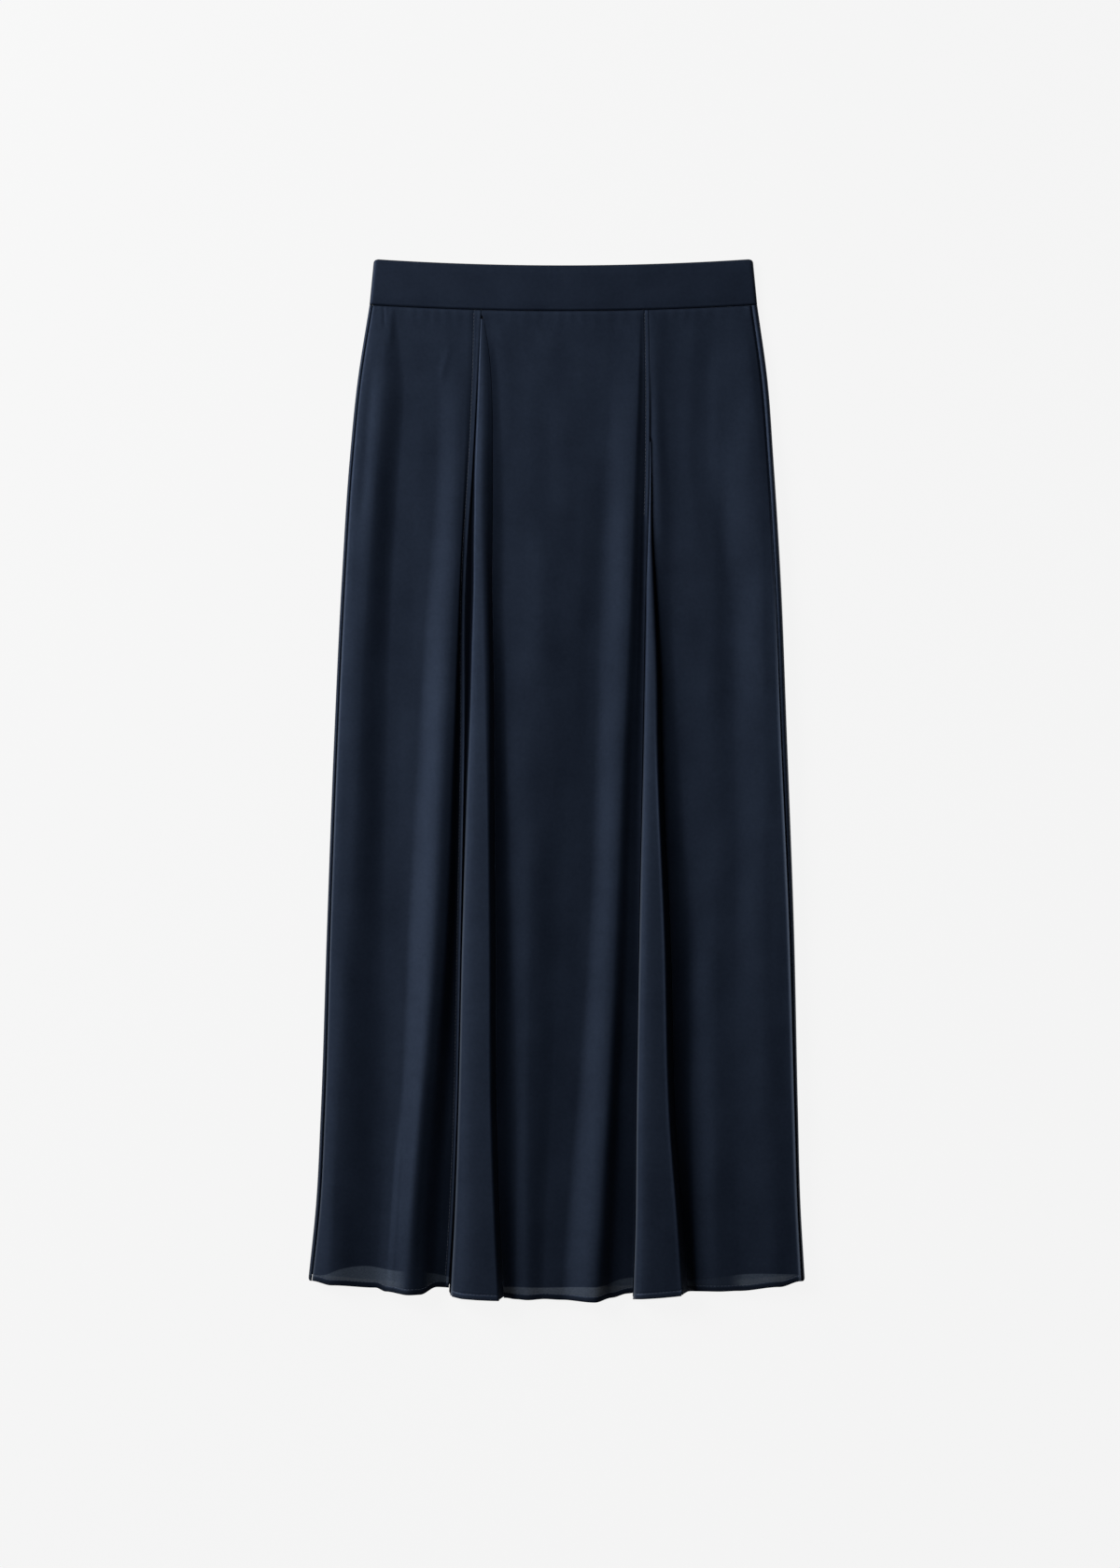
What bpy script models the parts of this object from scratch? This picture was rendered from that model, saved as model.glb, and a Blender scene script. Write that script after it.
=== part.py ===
"""An a-line midi skirt with two godet pleats, laid flat on its back.

The frame has +X to the right and +Y towards the waist, as the skirt is seen
from above, and +Z up. The origin is under the middle of the skirt, on the
surface that it lies on. Left and right are the viewer's. Lengths in the tables
are millimetres, and MM turns them into metres.

A place on the skirt is given by its drop, the distance below the waist seam.
Each front panel is a row of fold lines, crests and valleys that run from the
waist to the hem, and its cloth is eased from each line to the next.
"""

import math
from collections import namedtuple

import bmesh
import bpy
import numpy as np

MM = 0.001

# Cloth and the gaps between the pieces
CLOTH = 1.0
GAP = 0.3
BAND_CLOTH = 2.2

# The flat stack, from the surface up: back, back lining, front lining, front
LAYER = CLOTH + GAP
STACK = 3 * LAYER + CLOTH
BAND_STACK = STACK + 0.2
PLEAT_FOOT = 3 * LAYER + 0.4

# Waist and length
WAIST_Y = 425.0
LENGTH = 880.0
WAIST_MIDDLE = 5.6
SEAM_DROP, SEAM_RISE, SEAM_HALF = 2.3, 5.3, 173.0
TOP_DROP, TOP_RISE, TOP_HALF = -38.6, 5.5, 168.0
BAND_HEIGHT = SEAM_DROP - TOP_DROP
BAND_CORNER, BAND_TAPER = 3.4, 4.0
BAND_DEPTHS = (0, 0.02, 0.05, 0.1, 0.4, 0.7, 1)
BAND_FRONT = (0.1, 0.25, 0.4, 0.5, 0.6, 0.75, 0.9)
BAND_BACK = (0, 0.14, 0.5)
BACK_HEM, BACK_HEM_RISE, HEM_HALF = 881.2, 11.7, 223.3
BACK_SHARES = (0, 0.14, 0.35, 0.6, 0.82)
TURN_STEPS = 6
LINING_INSET = 3.0

# Concealed zip in the centre back
ZIP_LENGTH = 188.0
ZIP_TAPE = (24.0, 0.8)
ZIP_COIL = (4.0, 1.2)
ZIP_TOP_INSET = 2.0

# Drops at which every track below states its value
STATIONS = np.array((0, 70, 140, 245, 395, 565, 730, 815, 880), float)

# Drops of the rows of points down each panel
ROWS = (0, 20, 38, 42, 66, 92, 118, 143, 170, 195, 201, 205, 225, 245, 278, 311, 350, 395,
        450, 507, 565, 620, 675, 730, 773, 815, 850, 880)

OUTLINE_LEFT = (-168.5, -179.3, -186.3, -193.2, -200.4, -206.8, -212.3, -216.7, -223.3)
OUTLINE_RIGHT = (180.7, 190.1, 195.2, 201.6, 207.5, 213.7, 217.3, 219.6, 223.3)
SEAM_LEFT = (-165.3, -176.1, -183.0, -189.9, -197.1, -203.5, -208.5, -212.9, -220.0)
SEAM_RIGHT = (175.4, 184.7, 190.1, 195.8, 201.6, 209.0, 213.6, 216.3, 219.7)
PLEAT_SEAM_LEFT = (-67.9, -71.7, -75.5, -81.8, -83.7, -87.2, -91.6, -94.7, -97.7)
PLEAT_SEAM_RIGHT = (82.7, 83.9, 83.6, 80.3, 77.4, 74.0, 71.5, 70.7, 68.6)

# Each pleat below the point where it is wide enough to be a piece of its own:
# how far its left edge lies past the seam, its face's width, the spread of the
# fold that leads down from the face's right edge, that edge's height over the
# flat front, and how much lower the left edge is
Pleat = namedtuple("Pleat", "seam opens rows hem")
PleatRow = namedtuple("PleatRow", "drop gap face spread rise lean")
PLEAT_JOG = 4.0
PLEAT_FACE = (0, 0.12, 0.3, 0.6, 1)
PLEAT_BOW = 3
FOOT_SHARE = 0.8
FOOT_CLEAR = 0.3

LEFT_PLEAT = Pleat(
    seam=PLEAT_SEAM_LEFT,
    opens=42,
    rows=(
        PleatRow(42, 0.4, 4.9, 4.4, 1.4, 0.3),
        PleatRow(92, 0.9, 7.8, 6.4, 3.1, 0.8),
        PleatRow(143, 1.6, 9.3, 7.2, 4.6, 1.1),
        PleatRow(195, 4.3, 10.2, 6.8, 6.0, 1.1),
        PleatRow(245, 6.6, 11.6, 5.6, 7.3, 1.3),
        PleatRow(311, 5.8, 14.8, 5.2, 9.4, 1.9),
        PleatRow(395, 4.2, 18.2, 5.2, 11.6, 3.0),
        PleatRow(565, 2.3, 25.0, 5.0, 13.6, 4.6),
        PleatRow(730, 1.8, 31.2, 5.0, 14.6, 7.0),
        PleatRow(815, 2.8, 36.3, 5.0, 15.0, 9.0),
        PleatRow(880, 2.4, 42.9, 5.0, 15.0, 10.0),
    ),
    hem=(885.4, 888.3, 891.0, 891.9, 892.4, 892.5, 888.7),
)
RIGHT_PLEAT = Pleat(
    seam=PLEAT_SEAM_RIGHT,
    opens=205,
    rows=(
        PleatRow(195, 0.4, 3.0, 0.8, 3.2, 0.8),
        PleatRow(245, 0.5, 6.5, 1.2, 4.8, 1.3),
        PleatRow(320, 0.6, 11.2, 2.0, 7.1, 2.0),
        PleatRow(395, 0.6, 13.2, 3.4, 8.6, 2.6),
        PleatRow(565, 0.4, 23.2, 5.0, 11.0, 4.2),
        PleatRow(730, 0.3, 30.4, 5.0, 12.4, 5.4),
        PleatRow(815, 0.3, 37.8, 5.0, 13.0, 6.2),
        PleatRow(880, 0.3, 44.3, 5.0, 13.2, 6.4),
    ),
    hem=(888.7, 891.7, 891.2, 890.2, 888.8, 887.0, 884.5),
)

# A fold line: x and the rise over the flat front at each station, and its hem
Line = namedtuple("Line", "name across rise hem")

LEFT_PANEL = (
    Line("side seam", SEAM_LEFT, (0.2, 1.6, 2.4, 2.9, 3.0, 3.4, 4.6, 4.8, 4.6), 875.3),
    Line("outer crest", (-154.9, -157.5, -162.5, -170.8, -179.2, -186.8, -195.2, -199.4, -202.0),
         (0.4, 2.8, 4.0, 4.6, 4.6, 5.0, 7.4, 8.2, 8.5), 879.0),
    Line("outer valley", (-144.8, -137.0, -140.5, -147.0, -152.0, -155.0, -156.0, -160.0, -163.0),
         (0.2, 0.3, 0.2, 0.4, 0.6, 1.2, 3.2, 3.7, 3.9), 881.4),
    Line("slope foot", (-114.5, -108.0, -109.0, -116.5, -126.3, -134.5, -142.0, -149.5, -153.5),
         (0.3, 0.3, 0.4, 0.7, 1.6, 2.4, 4.4, 5.0, 5.2), 882.6),
    Line("main crest", (-86.5, -87.5, -88.0, -93.0, -101.0, -109.0, -122.5, -129.5, -132.5),
         (0.1, 0.8, 1.8, 4.0, 6.8, 10.4, 12.8, 13.4, 13.2), 887.5),
    Line("fold side", (-80.5, -81.0, -83.0, -87.5, -93.5, -100.5, -114.0, -120.5, -122.5),
         (0.1, 0.7, 1.6, 3.3, 5.7, 8.4, 10.4, 10.9, 10.8), 887.2),
    Line("main valley", (-73.5, -75.5, -79.5, -84.5, -86.2, -90.0, -97.5, -104.0, -108.0),
         (0, 0.3, 0.7, 0.9, 0.3, 0.5, 1.6, 2.8, 3.2), 880.9),
    Line("pleat edge", PLEAT_SEAM_LEFT, (0, 0.3, 0.6, 0.7, 0.3, 0.1, 0, 0, 0), 881.6),
)
CENTRE_PANEL = (
    Line("pleat edge", LEFT_PLEAT, (0, 0.8, 1.5, 3.3, 7.2, 9.6, 10.4, 10.6, 10.6), 890.0),
    Line("pleat valley", (-58.0, -51.5, -47.3, -46.5, -44.0, -39.5, -36.0, -36.0, -36.4),
         (0, 0.1, 0.5, 1.5, 2.7, 4.0, 4.6, 4.5, 4.4), 891.8),
    Line("shoulder", (-20.0, -18.0, -14.0, -11.5, -17.9, -22.5, -25.5, -26.0, -26.0),
         (0, 0.3, 0.9, 2.6, 3.8, 5.1, 5.4, 5.1, 5.1), 892.6),
    Line("middle valley", (11.5, 19.9, 22.0, 20.0, 11.0, 4.5, -5.0, -9.0, -11.0),
         (0, 0.2, 0.7, 1.7, 2.5, 3.6, 4.0, 4.2, 4.2), 891.7),
    Line("slope foot", (49.0, 47.0, 42.0, 38.5, 34.0, 27.5, 15.0, 7.5, 4.0),
         (0, 0.2, 0.5, 0.7, 1.4, 2.4, 2.9, 3.2, 3.2), 892.4),
    Line("main crest", (75.0, 73.0, 70.0, 66.5, 59.5, 52.5, 44.0, 38.5, 34.5),
         (0.1, 1.8, 2.7, 4.2, 5.3, 7.0, 10.0, 11.4, 11.6), 894.2),
    Line("fold side", (77.5, 77.3, 76.0, 73.8, 68.6, 63.8, 56.5, 53.5, 49.5),
         (0.1, 0.6, 1.2, 1.9, 2.2, 2.5, 3.0, 3.4, 3.4), 890.5),
    Line("main valley", (80.0, 80.5, 80.0, 78.6, 75.8, 71.8, 68.5, 67.0, 64.0),
         (0, 0.2, 0.4, 0.2, 0.1, 0.3, 0.5, 0.6, 0.7), 887.0),
    Line("pleat edge", PLEAT_SEAM_RIGHT, (0, 0.3, 0.5, 0.2, 0, 0, 0, 0, 0), 886.6),
)
RIGHT_PANEL = (
    Line("pleat edge", RIGHT_PLEAT, (0, 0, 0.3, 1.3, 3.4, 6.1, 7.0, 7.3, 7.3), 884.5),
    Line("inner valley", (102.2, 105.5, 107.0, 104.5, 111.0, 123.0, 125.0, 127.5, 130.5),
         (0, 0.2, 0.2, 0.2, 0.2, 0.2, 0.2, 0.2, 0.3), 885.0),
    Line("inner crest", (120.7, 121.0, 122.0, 135.0, 143.0, 144.5, 144.5, 145.0, 146.0),
         (0, 0.6, 0.9, 1.5, 2.0, 2.4, 2.6, 2.5, 2.1), 885.2),
    Line("outer valley", (137.3, 136.0, 135.0, 153.5, 158.0, 160.0, 160.0, 162.0, 164.0),
         (0, 0.5, 0.9, 1.8, 2.5, 2.8, 3.1, 2.7, 2.3), 884.5),
    Line("outer crest", (166.9, 175.3, 182.5, 187.5, 189.5, 190.5, 196.3, 198.5, 200.5),
         (0, 2.4, 4.9, 6.2, 6.6, 6.6, 6.5, 6.2, 6.0), 880.7),
    Line("side seam", SEAM_RIGHT, (0.2, 1.9, 4.6, 6.4, 7.2, 7.3, 6.9, 6.4, 6.0), 875.5),
)
SPAN_STEPS = 3

# The lining's hem, shorter than the skirt's: x and drop
LINING_HEM = ((-222, 868), (-170, 863), (-114, 870), (-47, 881), (41, 881), (60, 875),
              (129, 875), (171, 869), (222, 868))
LINING_STEPS = 14

NAVY = (0.0103, 0.0159, 0.0296, 1)
LINING_NAVY = (0.0070, 0.0100, 0.0180, 1)
ZIP_NAVY = (0.0080, 0.0110, 0.0200, 1)
CREPE_ROUGHNESS, BAND_ROUGHNESS = 0.5, 0.55
SATIN_ROUGHNESS, TAPE_ROUGHNESS = 0.4, 0.6


def curve(xs, ys, x):
    """y at x, on a smooth curve through the points (xs, ys)."""
    xs, ys = np.asarray(xs, float), np.asarray(ys, float)
    slopes = np.gradient(ys, xs)
    k = int(np.clip(np.searchsorted(xs, x, side="right") - 1, 0, len(xs) - 2))
    width = xs[k + 1] - xs[k]
    t = min(max((x - xs[k]) / width, 0), 1)
    return float((2 * t**3 - 3 * t**2 + 1) * ys[k] + (t**3 - 2 * t**2 + t) * width * slopes[k]
                 + (3 * t**2 - 2 * t**3) * ys[k + 1] + (t**3 - t**2) * width * slopes[k + 1])


def track(values, drop):
    return curve(STATIONS, values, drop)


def mix(a, b, t):
    return a + (b - a) * t


def seam_drop(x):
    """The waist seam's drop, which dips towards the middle."""
    return SEAM_DROP - SEAM_RISE * ((x - WAIST_MIDDLE) / SEAM_HALF) ** 2


def top_drop(x):
    return TOP_DROP - TOP_RISE * ((x - WAIST_MIDDLE) / TOP_HALF) ** 2


def back_hem(x):
    return BACK_HEM - BACK_HEM_RISE * (x / HEM_HALF) ** 2


def point_down(x, z, share, hem):
    """A point at a share of the way from the waist seam to a hem."""
    top = seam_drop(x) + GAP / 2
    return x, WAIST_Y - mix(top, hem, share), z


def pleat_row(pleat, drop):
    """The pleat's sizes at a drop, on curves through its table."""
    drops = [row.drop for row in pleat.rows]
    return PleatRow(drop, *(curve(drops, column, drop) for column in list(zip(*pleat.rows))[1:]))


def pleat_foot(pleat, drop):
    """x of the panel edge at the pleat's right, closed up above where it opens."""
    seam = track(pleat.seam, drop)
    closed = seam + GAP
    if drop <= pleat.opens - PLEAT_JOG:
        return closed
    if drop < pleat.opens:
        t = (drop - pleat.opens + PLEAT_JOG) / PLEAT_JOG
        return mix(closed, pleat_foot(pleat, pleat.opens), t)
    row = pleat_row(pleat, drop)
    return seam + row.gap + row.face + row.spread + GAP


def line_x(line, drop):
    if isinstance(line.across, Pleat):
        return pleat_foot(line.across, drop)
    return track(line.across, drop)


def eased(t, width, ends, slopes):
    """A height at a share t of a span, from its ends' heights and slopes."""
    return ((2 * t**3 - 3 * t**2 + 1) * ends[0] + (t**3 - 2 * t**2 + t) * width * slopes[0]
            + (3 * t**2 - 2 * t**3) * ends[1] + (t**3 - t**2) * width * slopes[1])


def line_slopes(xs, rises):
    """The cloth's slope at each fold line: level at the crests, the valleys and the
    right edge, and at the left edge whatever brings it there in one curve."""
    between = [(rises[k + 1] - rises[k]) / (xs[k + 1] - xs[k]) for k in range(len(xs) - 1)]
    inner = [2 * a * b / (a + b) if a * b > 0 else 0.0 for a, b in zip(between, between[1:])]
    return [1.5 * between[0] - 0.5 * inner[0]] + inner + [0.0]


def panel_points(lines):
    """Rows of points of a front panel's outer surface, from its fold lines."""
    columns = [(k, step / SPAN_STEPS) for k in range(len(lines) - 1) for step in range(SPAN_STEPS)]
    columns.append((len(lines) - 2, 1.0))
    rows = []
    for drop in ROWS:
        xs = [line_x(line, drop) for line in lines]
        rises = [track(line.rise, drop) for line in lines]
        slopes = line_slopes(xs, rises)
        row = []
        for k, t in columns:
            x = mix(xs[k], xs[k + 1], t)
            z = STACK + eased(t, xs[k + 1] - xs[k], rises[k:k + 2], slopes[k:k + 2])
            hem = eased(t, 1, (lines[k].hem, lines[k + 1].hem), (0, 0))
            row.append(point_down(x, z, drop / LENGTH, hem))
        rows.append(row)
    return rows


def pleat_points(pleat, right_edge):
    """Rows of points of a pleat: up from the panel at its left, over its face, and down
    to the edge of the panel at its right."""
    rows = []
    for drop in ROWS:
        if drop < pleat.opens:
            continue
        size = pleat_row(pleat, drop)
        seam = track(pleat.seam, drop)
        left = seam + max(size.gap, GAP)
        right = seam + size.gap + size.face
        section = [(seam + GAP, PLEAT_FOOT)]
        for t in PLEAT_FACE:
            lower = size.lean * (1 - t) ** PLEAT_BOW
            section.append((mix(left, right, t), STACK + size.rise - lower))
        foot = min(track(right_edge.rise, drop), FOOT_SHARE * size.rise)
        section.append((right + size.spread - FOOT_CLEAR, STACK + foot))
        rows.append([point_down(x, z, drop / LENGTH, hem)
                     for (x, z), hem in zip(section, pleat.hem)])
    return rows


def turned_edge(edge, radius, height, side):
    """x, z round a folded side, from the underside to the top; side is -1 or 1."""
    for k in range(TURN_STEPS + 1):
        angle = math.pi * k / TURN_STEPS
        yield edge - side * radius * (1 - math.sin(angle)), height * (1 - math.cos(angle)) / 2


def back_points(outline, side_line, side):
    """Rows of points of half the back, which turns round its side to the front seam."""
    rows = []
    radius = STACK / 2
    for drop in ROWS:
        edge = track(outline, drop)
        inner = edge - side * radius
        height = STACK + track(side_line.rise, drop)
        section = [(mix(side * GAP / 2, inner, t), 0.0) for t in BACK_SHARES]
        section += turned_edge(edge, radius, height, side)
        section.append((track(side_line.across, drop) + side * GAP, height))
        row = [point_down(x, z, drop / LENGTH, mix(back_hem(x), side_line.hem, z / height))
               for x, z in section]
        rows.append(row if side < 0 else row[::-1])
    return rows


def band_edge(outline, depth, side):
    """x of the waistband's side at a depth below its top, with a rounded corner."""
    slant = track(outline, 0) - side * BAND_TAPER * (1 - depth)
    inset = BAND_HEIGHT * depth
    if inset >= BAND_CORNER:
        return slant
    return slant - side * (BAND_CORNER - math.sqrt(BAND_CORNER**2 - (BAND_CORNER - inset) ** 2))


def band_points():
    """Rows of points round the waistband, one strip whose ends meet at the back."""
    rows = []
    radius = BAND_STACK / 2
    for depth in BAND_DEPTHS:
        left = band_edge(OUTLINE_LEFT, depth, -1)
        right = band_edge(OUTLINE_RIGHT, depth, 1)
        inner_left, inner_right = left + radius, right - radius
        section = [(mix(-GAP / 2, inner_left, t), 0.0) for t in BAND_BACK]
        section += turned_edge(left, radius, BAND_STACK, -1)
        section += [(mix(inner_left, inner_right, t), BAND_STACK) for t in BAND_FRONT]
        section += list(turned_edge(right, radius, BAND_STACK, 1))[::-1]
        section += [(mix(GAP / 2, inner_right, t), 0.0) for t in BAND_BACK[::-1]]
        rows.append([(x, WAIST_Y - mix(top_drop(x), seam_drop(x) - GAP / 2, depth), z)
                     for x, z in section])
    return rows


def lining_points(top):
    """Rows of points of one side of the lining, a flat a-line panel."""
    hem_x, hem_drop = zip(*LINING_HEM)
    rows = []
    for drop in ROWS[::2] + ROWS[-1:]:
        left = track(OUTLINE_LEFT, drop) + LINING_INSET
        right = track(OUTLINE_RIGHT, drop) - LINING_INSET
        row = []
        for k in range(LINING_STEPS + 1):
            x = mix(left, right, k / LINING_STEPS)
            row.append(point_down(x, top, drop / LENGTH, curve(hem_x, hem_drop, x)))
        rows.append(row)
    return rows


def matte(name, colour, roughness):
    material = bpy.data.materials.new(name)
    material.diffuse_color = colour
    material.use_nodes = True
    shader = material.node_tree.nodes["Principled BSDF"]
    shader.inputs["Base Color"].default_value = colour
    shader.inputs["Roughness"].default_value = roughness
    shader.inputs["Metallic"].default_value = 0
    return material


def add_object(name, mesh, material, collection):
    mesh.materials.append(material)
    piece = bpy.data.objects.new(name, mesh)
    collection.objects.link(piece)
    return piece


def add_cloth(name, rows, thickness, material, collection):
    """A wall of cloth: a loft through rows of points, thickened inwards."""
    shape = bmesh.new()
    grid = [[shape.verts.new([v * MM for v in point]) for point in row] for row in rows]
    for upper, lower in zip(grid, grid[1:]):
        for k in range(len(upper) - 1):
            shape.faces.new((upper[k], lower[k], lower[k + 1], upper[k + 1]))
    mesh = bpy.data.meshes.new(name)
    shape.to_mesh(mesh)
    shape.free()
    mesh.shade_smooth()
    piece = add_object(name, mesh, material, collection)
    wall = piece.modifiers.new("wall", "SOLIDIFY")
    wall.thickness = thickness * MM
    wall.offset = -1
    wall.use_even_offset = True
    return piece


def add_prism(name, section, low_y, high_y, material, collection):
    """An outline in X and Z, counterclockwise seen from -Y, drawn out along Y."""
    shape = bmesh.new()
    ends = [[shape.verts.new((x * MM, y * MM, z * MM)) for x, z in section] for y in (low_y, high_y)]
    shape.faces.new(ends[0])
    shape.faces.new(ends[1][::-1])
    for k in range(len(section)):
        after = (k + 1) % len(section)
        shape.faces.new((ends[0][after], ends[0][k], ends[1][k], ends[1][after]))
    bmesh.ops.recalc_face_normals(shape, faces=shape.faces)
    mesh = bpy.data.meshes.new(name)
    shape.to_mesh(mesh)
    shape.free()
    return add_object(name, mesh, material, collection)


def add_zip(material, collection):
    """The closed zip, tapes and coil, between the back and its lining."""
    tape_half, coil_half = ZIP_TAPE[0] / 2, ZIP_COIL[0] / 2
    low = LAYER
    tape_top, coil_top = low + ZIP_TAPE[1], low + ZIP_COIL[1]
    section = [(-tape_half, low), (tape_half, low), (tape_half, tape_top), (coil_half, tape_top),
               (coil_half, coil_top), (-coil_half, coil_top), (-coil_half, tape_top),
               (-tape_half, tape_top)]
    high_y = WAIST_Y - top_drop(0) - ZIP_TOP_INSET
    return add_prism("zip", section, high_y - ZIP_LENGTH, high_y, material, collection)


def add_zip_channel(material, collection):
    """The room that the waistband and the back lining leave for the zip."""
    half = ZIP_TAPE[0] / 2 + GAP
    low, high = CLOTH, BAND_STACK / 2
    section = [(-half, low), (half, low), (half, high), (-half, high)]
    zip_end = WAIST_Y - top_drop(0) - ZIP_TOP_INSET - ZIP_LENGTH
    cutter = add_prism("zip_channel", section, zip_end - GAP, WAIST_Y + 2 * BAND_HEIGHT,
                       material, collection)
    cutter.hide_render = True
    cutter.display_type = "WIRE"
    return cutter


def cut(piece, cutter):
    channel = piece.modifiers.new("zip channel", "BOOLEAN")
    channel.operation = "DIFFERENCE"
    channel.object = cutter


def new_collection(name):
    collection = bpy.data.collections.new(name)
    bpy.context.scene.collection.children.link(collection)
    return collection


def main():
    for old in list(bpy.data.objects):
        bpy.data.objects.remove(old, do_unlink=True)
    skirt = new_collection("midi_skirt")
    cutters = new_collection("cutters")
    cutter = add_zip_channel(matte("guide", ZIP_NAVY, TAPE_ROUGHNESS), cutters)

    waistband = add_cloth("waistband", band_points(), BAND_CLOTH,
                          matte("waistband_crepe", NAVY, BAND_ROUGHNESS), skirt)
    cut(waistband, cutter)
    for name, lines in (("front_side_left", LEFT_PANEL), ("front_centre", CENTRE_PANEL),
                        ("front_side_right", RIGHT_PANEL)):
        add_cloth(name, panel_points(lines), CLOTH,
                  matte(name + "_crepe", NAVY, CREPE_ROUGHNESS), skirt)
    for name, pleat, right_edge in (("pleat_left", LEFT_PLEAT, CENTRE_PANEL[0]),
                                    ("pleat_right", RIGHT_PLEAT, RIGHT_PANEL[0])):
        add_cloth(name, pleat_points(pleat, right_edge), CLOTH,
                  matte(name + "_crepe", NAVY, CREPE_ROUGHNESS), skirt)
    for name, outline, side_line, side in (("back_left", OUTLINE_LEFT, LEFT_PANEL[0], -1),
                                           ("back_right", OUTLINE_RIGHT, RIGHT_PANEL[-1], 1)):
        add_cloth(name, back_points(outline, side_line, side), CLOTH,
                  matte(name + "_crepe", NAVY, CREPE_ROUGHNESS), skirt)
    back_lining = add_cloth("lining_back", lining_points(LAYER + CLOTH), CLOTH,
                            matte("lining_back_satin", LINING_NAVY, SATIN_ROUGHNESS), skirt)
    cut(back_lining, cutter)
    add_cloth("lining_front", lining_points(2 * LAYER + CLOTH), CLOTH,
              matte("lining_front_satin", LINING_NAVY, SATIN_ROUGHNESS), skirt)
    add_zip(matte("zip_tape", ZIP_NAVY, TAPE_ROUGHNESS), skirt)


main()
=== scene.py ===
"""The looks of an a-line midi skirt that lies flat on its back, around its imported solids.

Every cloth solid is replaced by a thin shell on the same form, made from the
same fold lines, with the finer relief of seams, creases and hems. Left and
right are the viewer's. Tables are in millimetres, in the frame of the solids:
+X to the right, +Y towards the waist, +Z up from the surface that it lies on.
"""

import math
from collections import namedtuple

import bpy
import numpy as np
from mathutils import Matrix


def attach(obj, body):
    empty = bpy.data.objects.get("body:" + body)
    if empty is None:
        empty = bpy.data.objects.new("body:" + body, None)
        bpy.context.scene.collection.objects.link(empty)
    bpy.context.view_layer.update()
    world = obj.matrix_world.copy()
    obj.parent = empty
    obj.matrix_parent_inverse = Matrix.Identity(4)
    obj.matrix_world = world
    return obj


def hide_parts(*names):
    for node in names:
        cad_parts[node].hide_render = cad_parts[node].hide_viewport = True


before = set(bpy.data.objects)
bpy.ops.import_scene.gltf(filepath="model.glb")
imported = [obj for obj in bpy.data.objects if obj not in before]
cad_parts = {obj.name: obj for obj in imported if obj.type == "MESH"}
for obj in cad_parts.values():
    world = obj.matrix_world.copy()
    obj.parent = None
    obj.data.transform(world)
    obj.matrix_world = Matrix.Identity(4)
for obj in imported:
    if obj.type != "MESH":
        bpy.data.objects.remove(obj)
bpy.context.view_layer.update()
MM = 0.001

# -------------------------------- the solids' sizes
CLOTH, GAP = 1.0, 0.3
LAYER = CLOTH + GAP
STACK = 3 * LAYER + CLOTH
BAND_STACK = STACK + 0.2
PLEAT_FOOT = 3 * LAYER + 0.4

WAIST_Y, LENGTH, WAIST_MIDDLE = 425.0, 880.0, 5.6
SEAM_DROP, SEAM_RISE, SEAM_HALF = 2.3, 5.3, 173.0
TOP_DROP, TOP_RISE, TOP_HALF = -38.6, 5.5, 168.0
BAND_HEIGHT = SEAM_DROP - TOP_DROP
BAND_CORNER, BAND_TAPER = 3.4, 4.0
BACK_HEM, BACK_HEM_RISE, HEM_HALF = 881.2, 11.7, 223.3
LINING_INSET = 3.0

# Drops, measured down from WAIST_Y, at which the tables below give their values
STATIONS = (0, 70, 140, 245, 395, 565, 730, 815, 880)

OUTLINE_LEFT = (-168.5, -179.3, -186.3, -193.2, -200.4, -206.8, -212.3, -216.7, -223.3)
OUTLINE_RIGHT = (180.7, 190.1, 195.2, 201.6, 207.5, 213.7, 217.3, 219.6, 223.3)
SEAM_LEFT = (-165.3, -176.1, -183.0, -189.9, -197.1, -203.5, -208.5, -212.9, -220.0)
SEAM_RIGHT = (175.4, 184.7, 190.1, 195.8, 201.6, 209.0, 213.6, 216.3, 219.7)
PLEAT_SEAM_LEFT = (-67.9, -71.7, -75.5, -81.8, -82.6, -85.7, -89.3, -92.8, -96.9)
PLEAT_SEAM_RIGHT = (82.7, 83.9, 83.6, 80.3, 77.4, 74.0, 71.5, 70.7, 68.6)

# A pleat: the stitched edge at its left, the drop where it opens, its rows, its hem across
# the section, the ridge at its right and the width over which its face bows up. A row: its
# drop, the gap at its left, its pressed face, its spread at the right, and the face's rise
# and lean
Pleat = namedtuple("Pleat", "seam opens rows hem ridge bow")
PLEAT_JOG = 4.0

LEFT_PLEAT = Pleat(
    seam=PLEAT_SEAM_LEFT,
    opens=8,
    rows=(
        (8, 0.1, 1.6, 1.2, 0.3, 0.1),
        (42, 0.4, 4.9, 4.4, 1.4, 0.3),
        (92, 0.9, 7.8, 6.4, 3.1, 0.8),
        (143, 1.6, 9.3, 7.2, 4.6, 1.1),
        (195, 4.3, 10.2, 6.8, 6.0, 1.1),
        (245, 6.6, 11.6, 5.6, 7.3, 1.3),
        (311, 5.8, 14.8, 5.2, 9.4, 1.9),
        (395, 3.1, 18.2, 5.2, 11.6, 3.0),
        (565, 0.8, 25.0, 5.0, 13.6, 4.6),
        (730, 0.5, 30.2, 5.0, 14.6, 7.0),
        (815, 0.9, 36.3, 5.0, 15.0, 9.0),
        (880, 1.6, 42.9, 5.0, 15.0, 10.0),
    ),
    hem=(885.4, 888.3, 891.0, 891.9, 892.4, 892.5, 888.7),
    ridge=0.05,
    bow=8.5,
)
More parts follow.
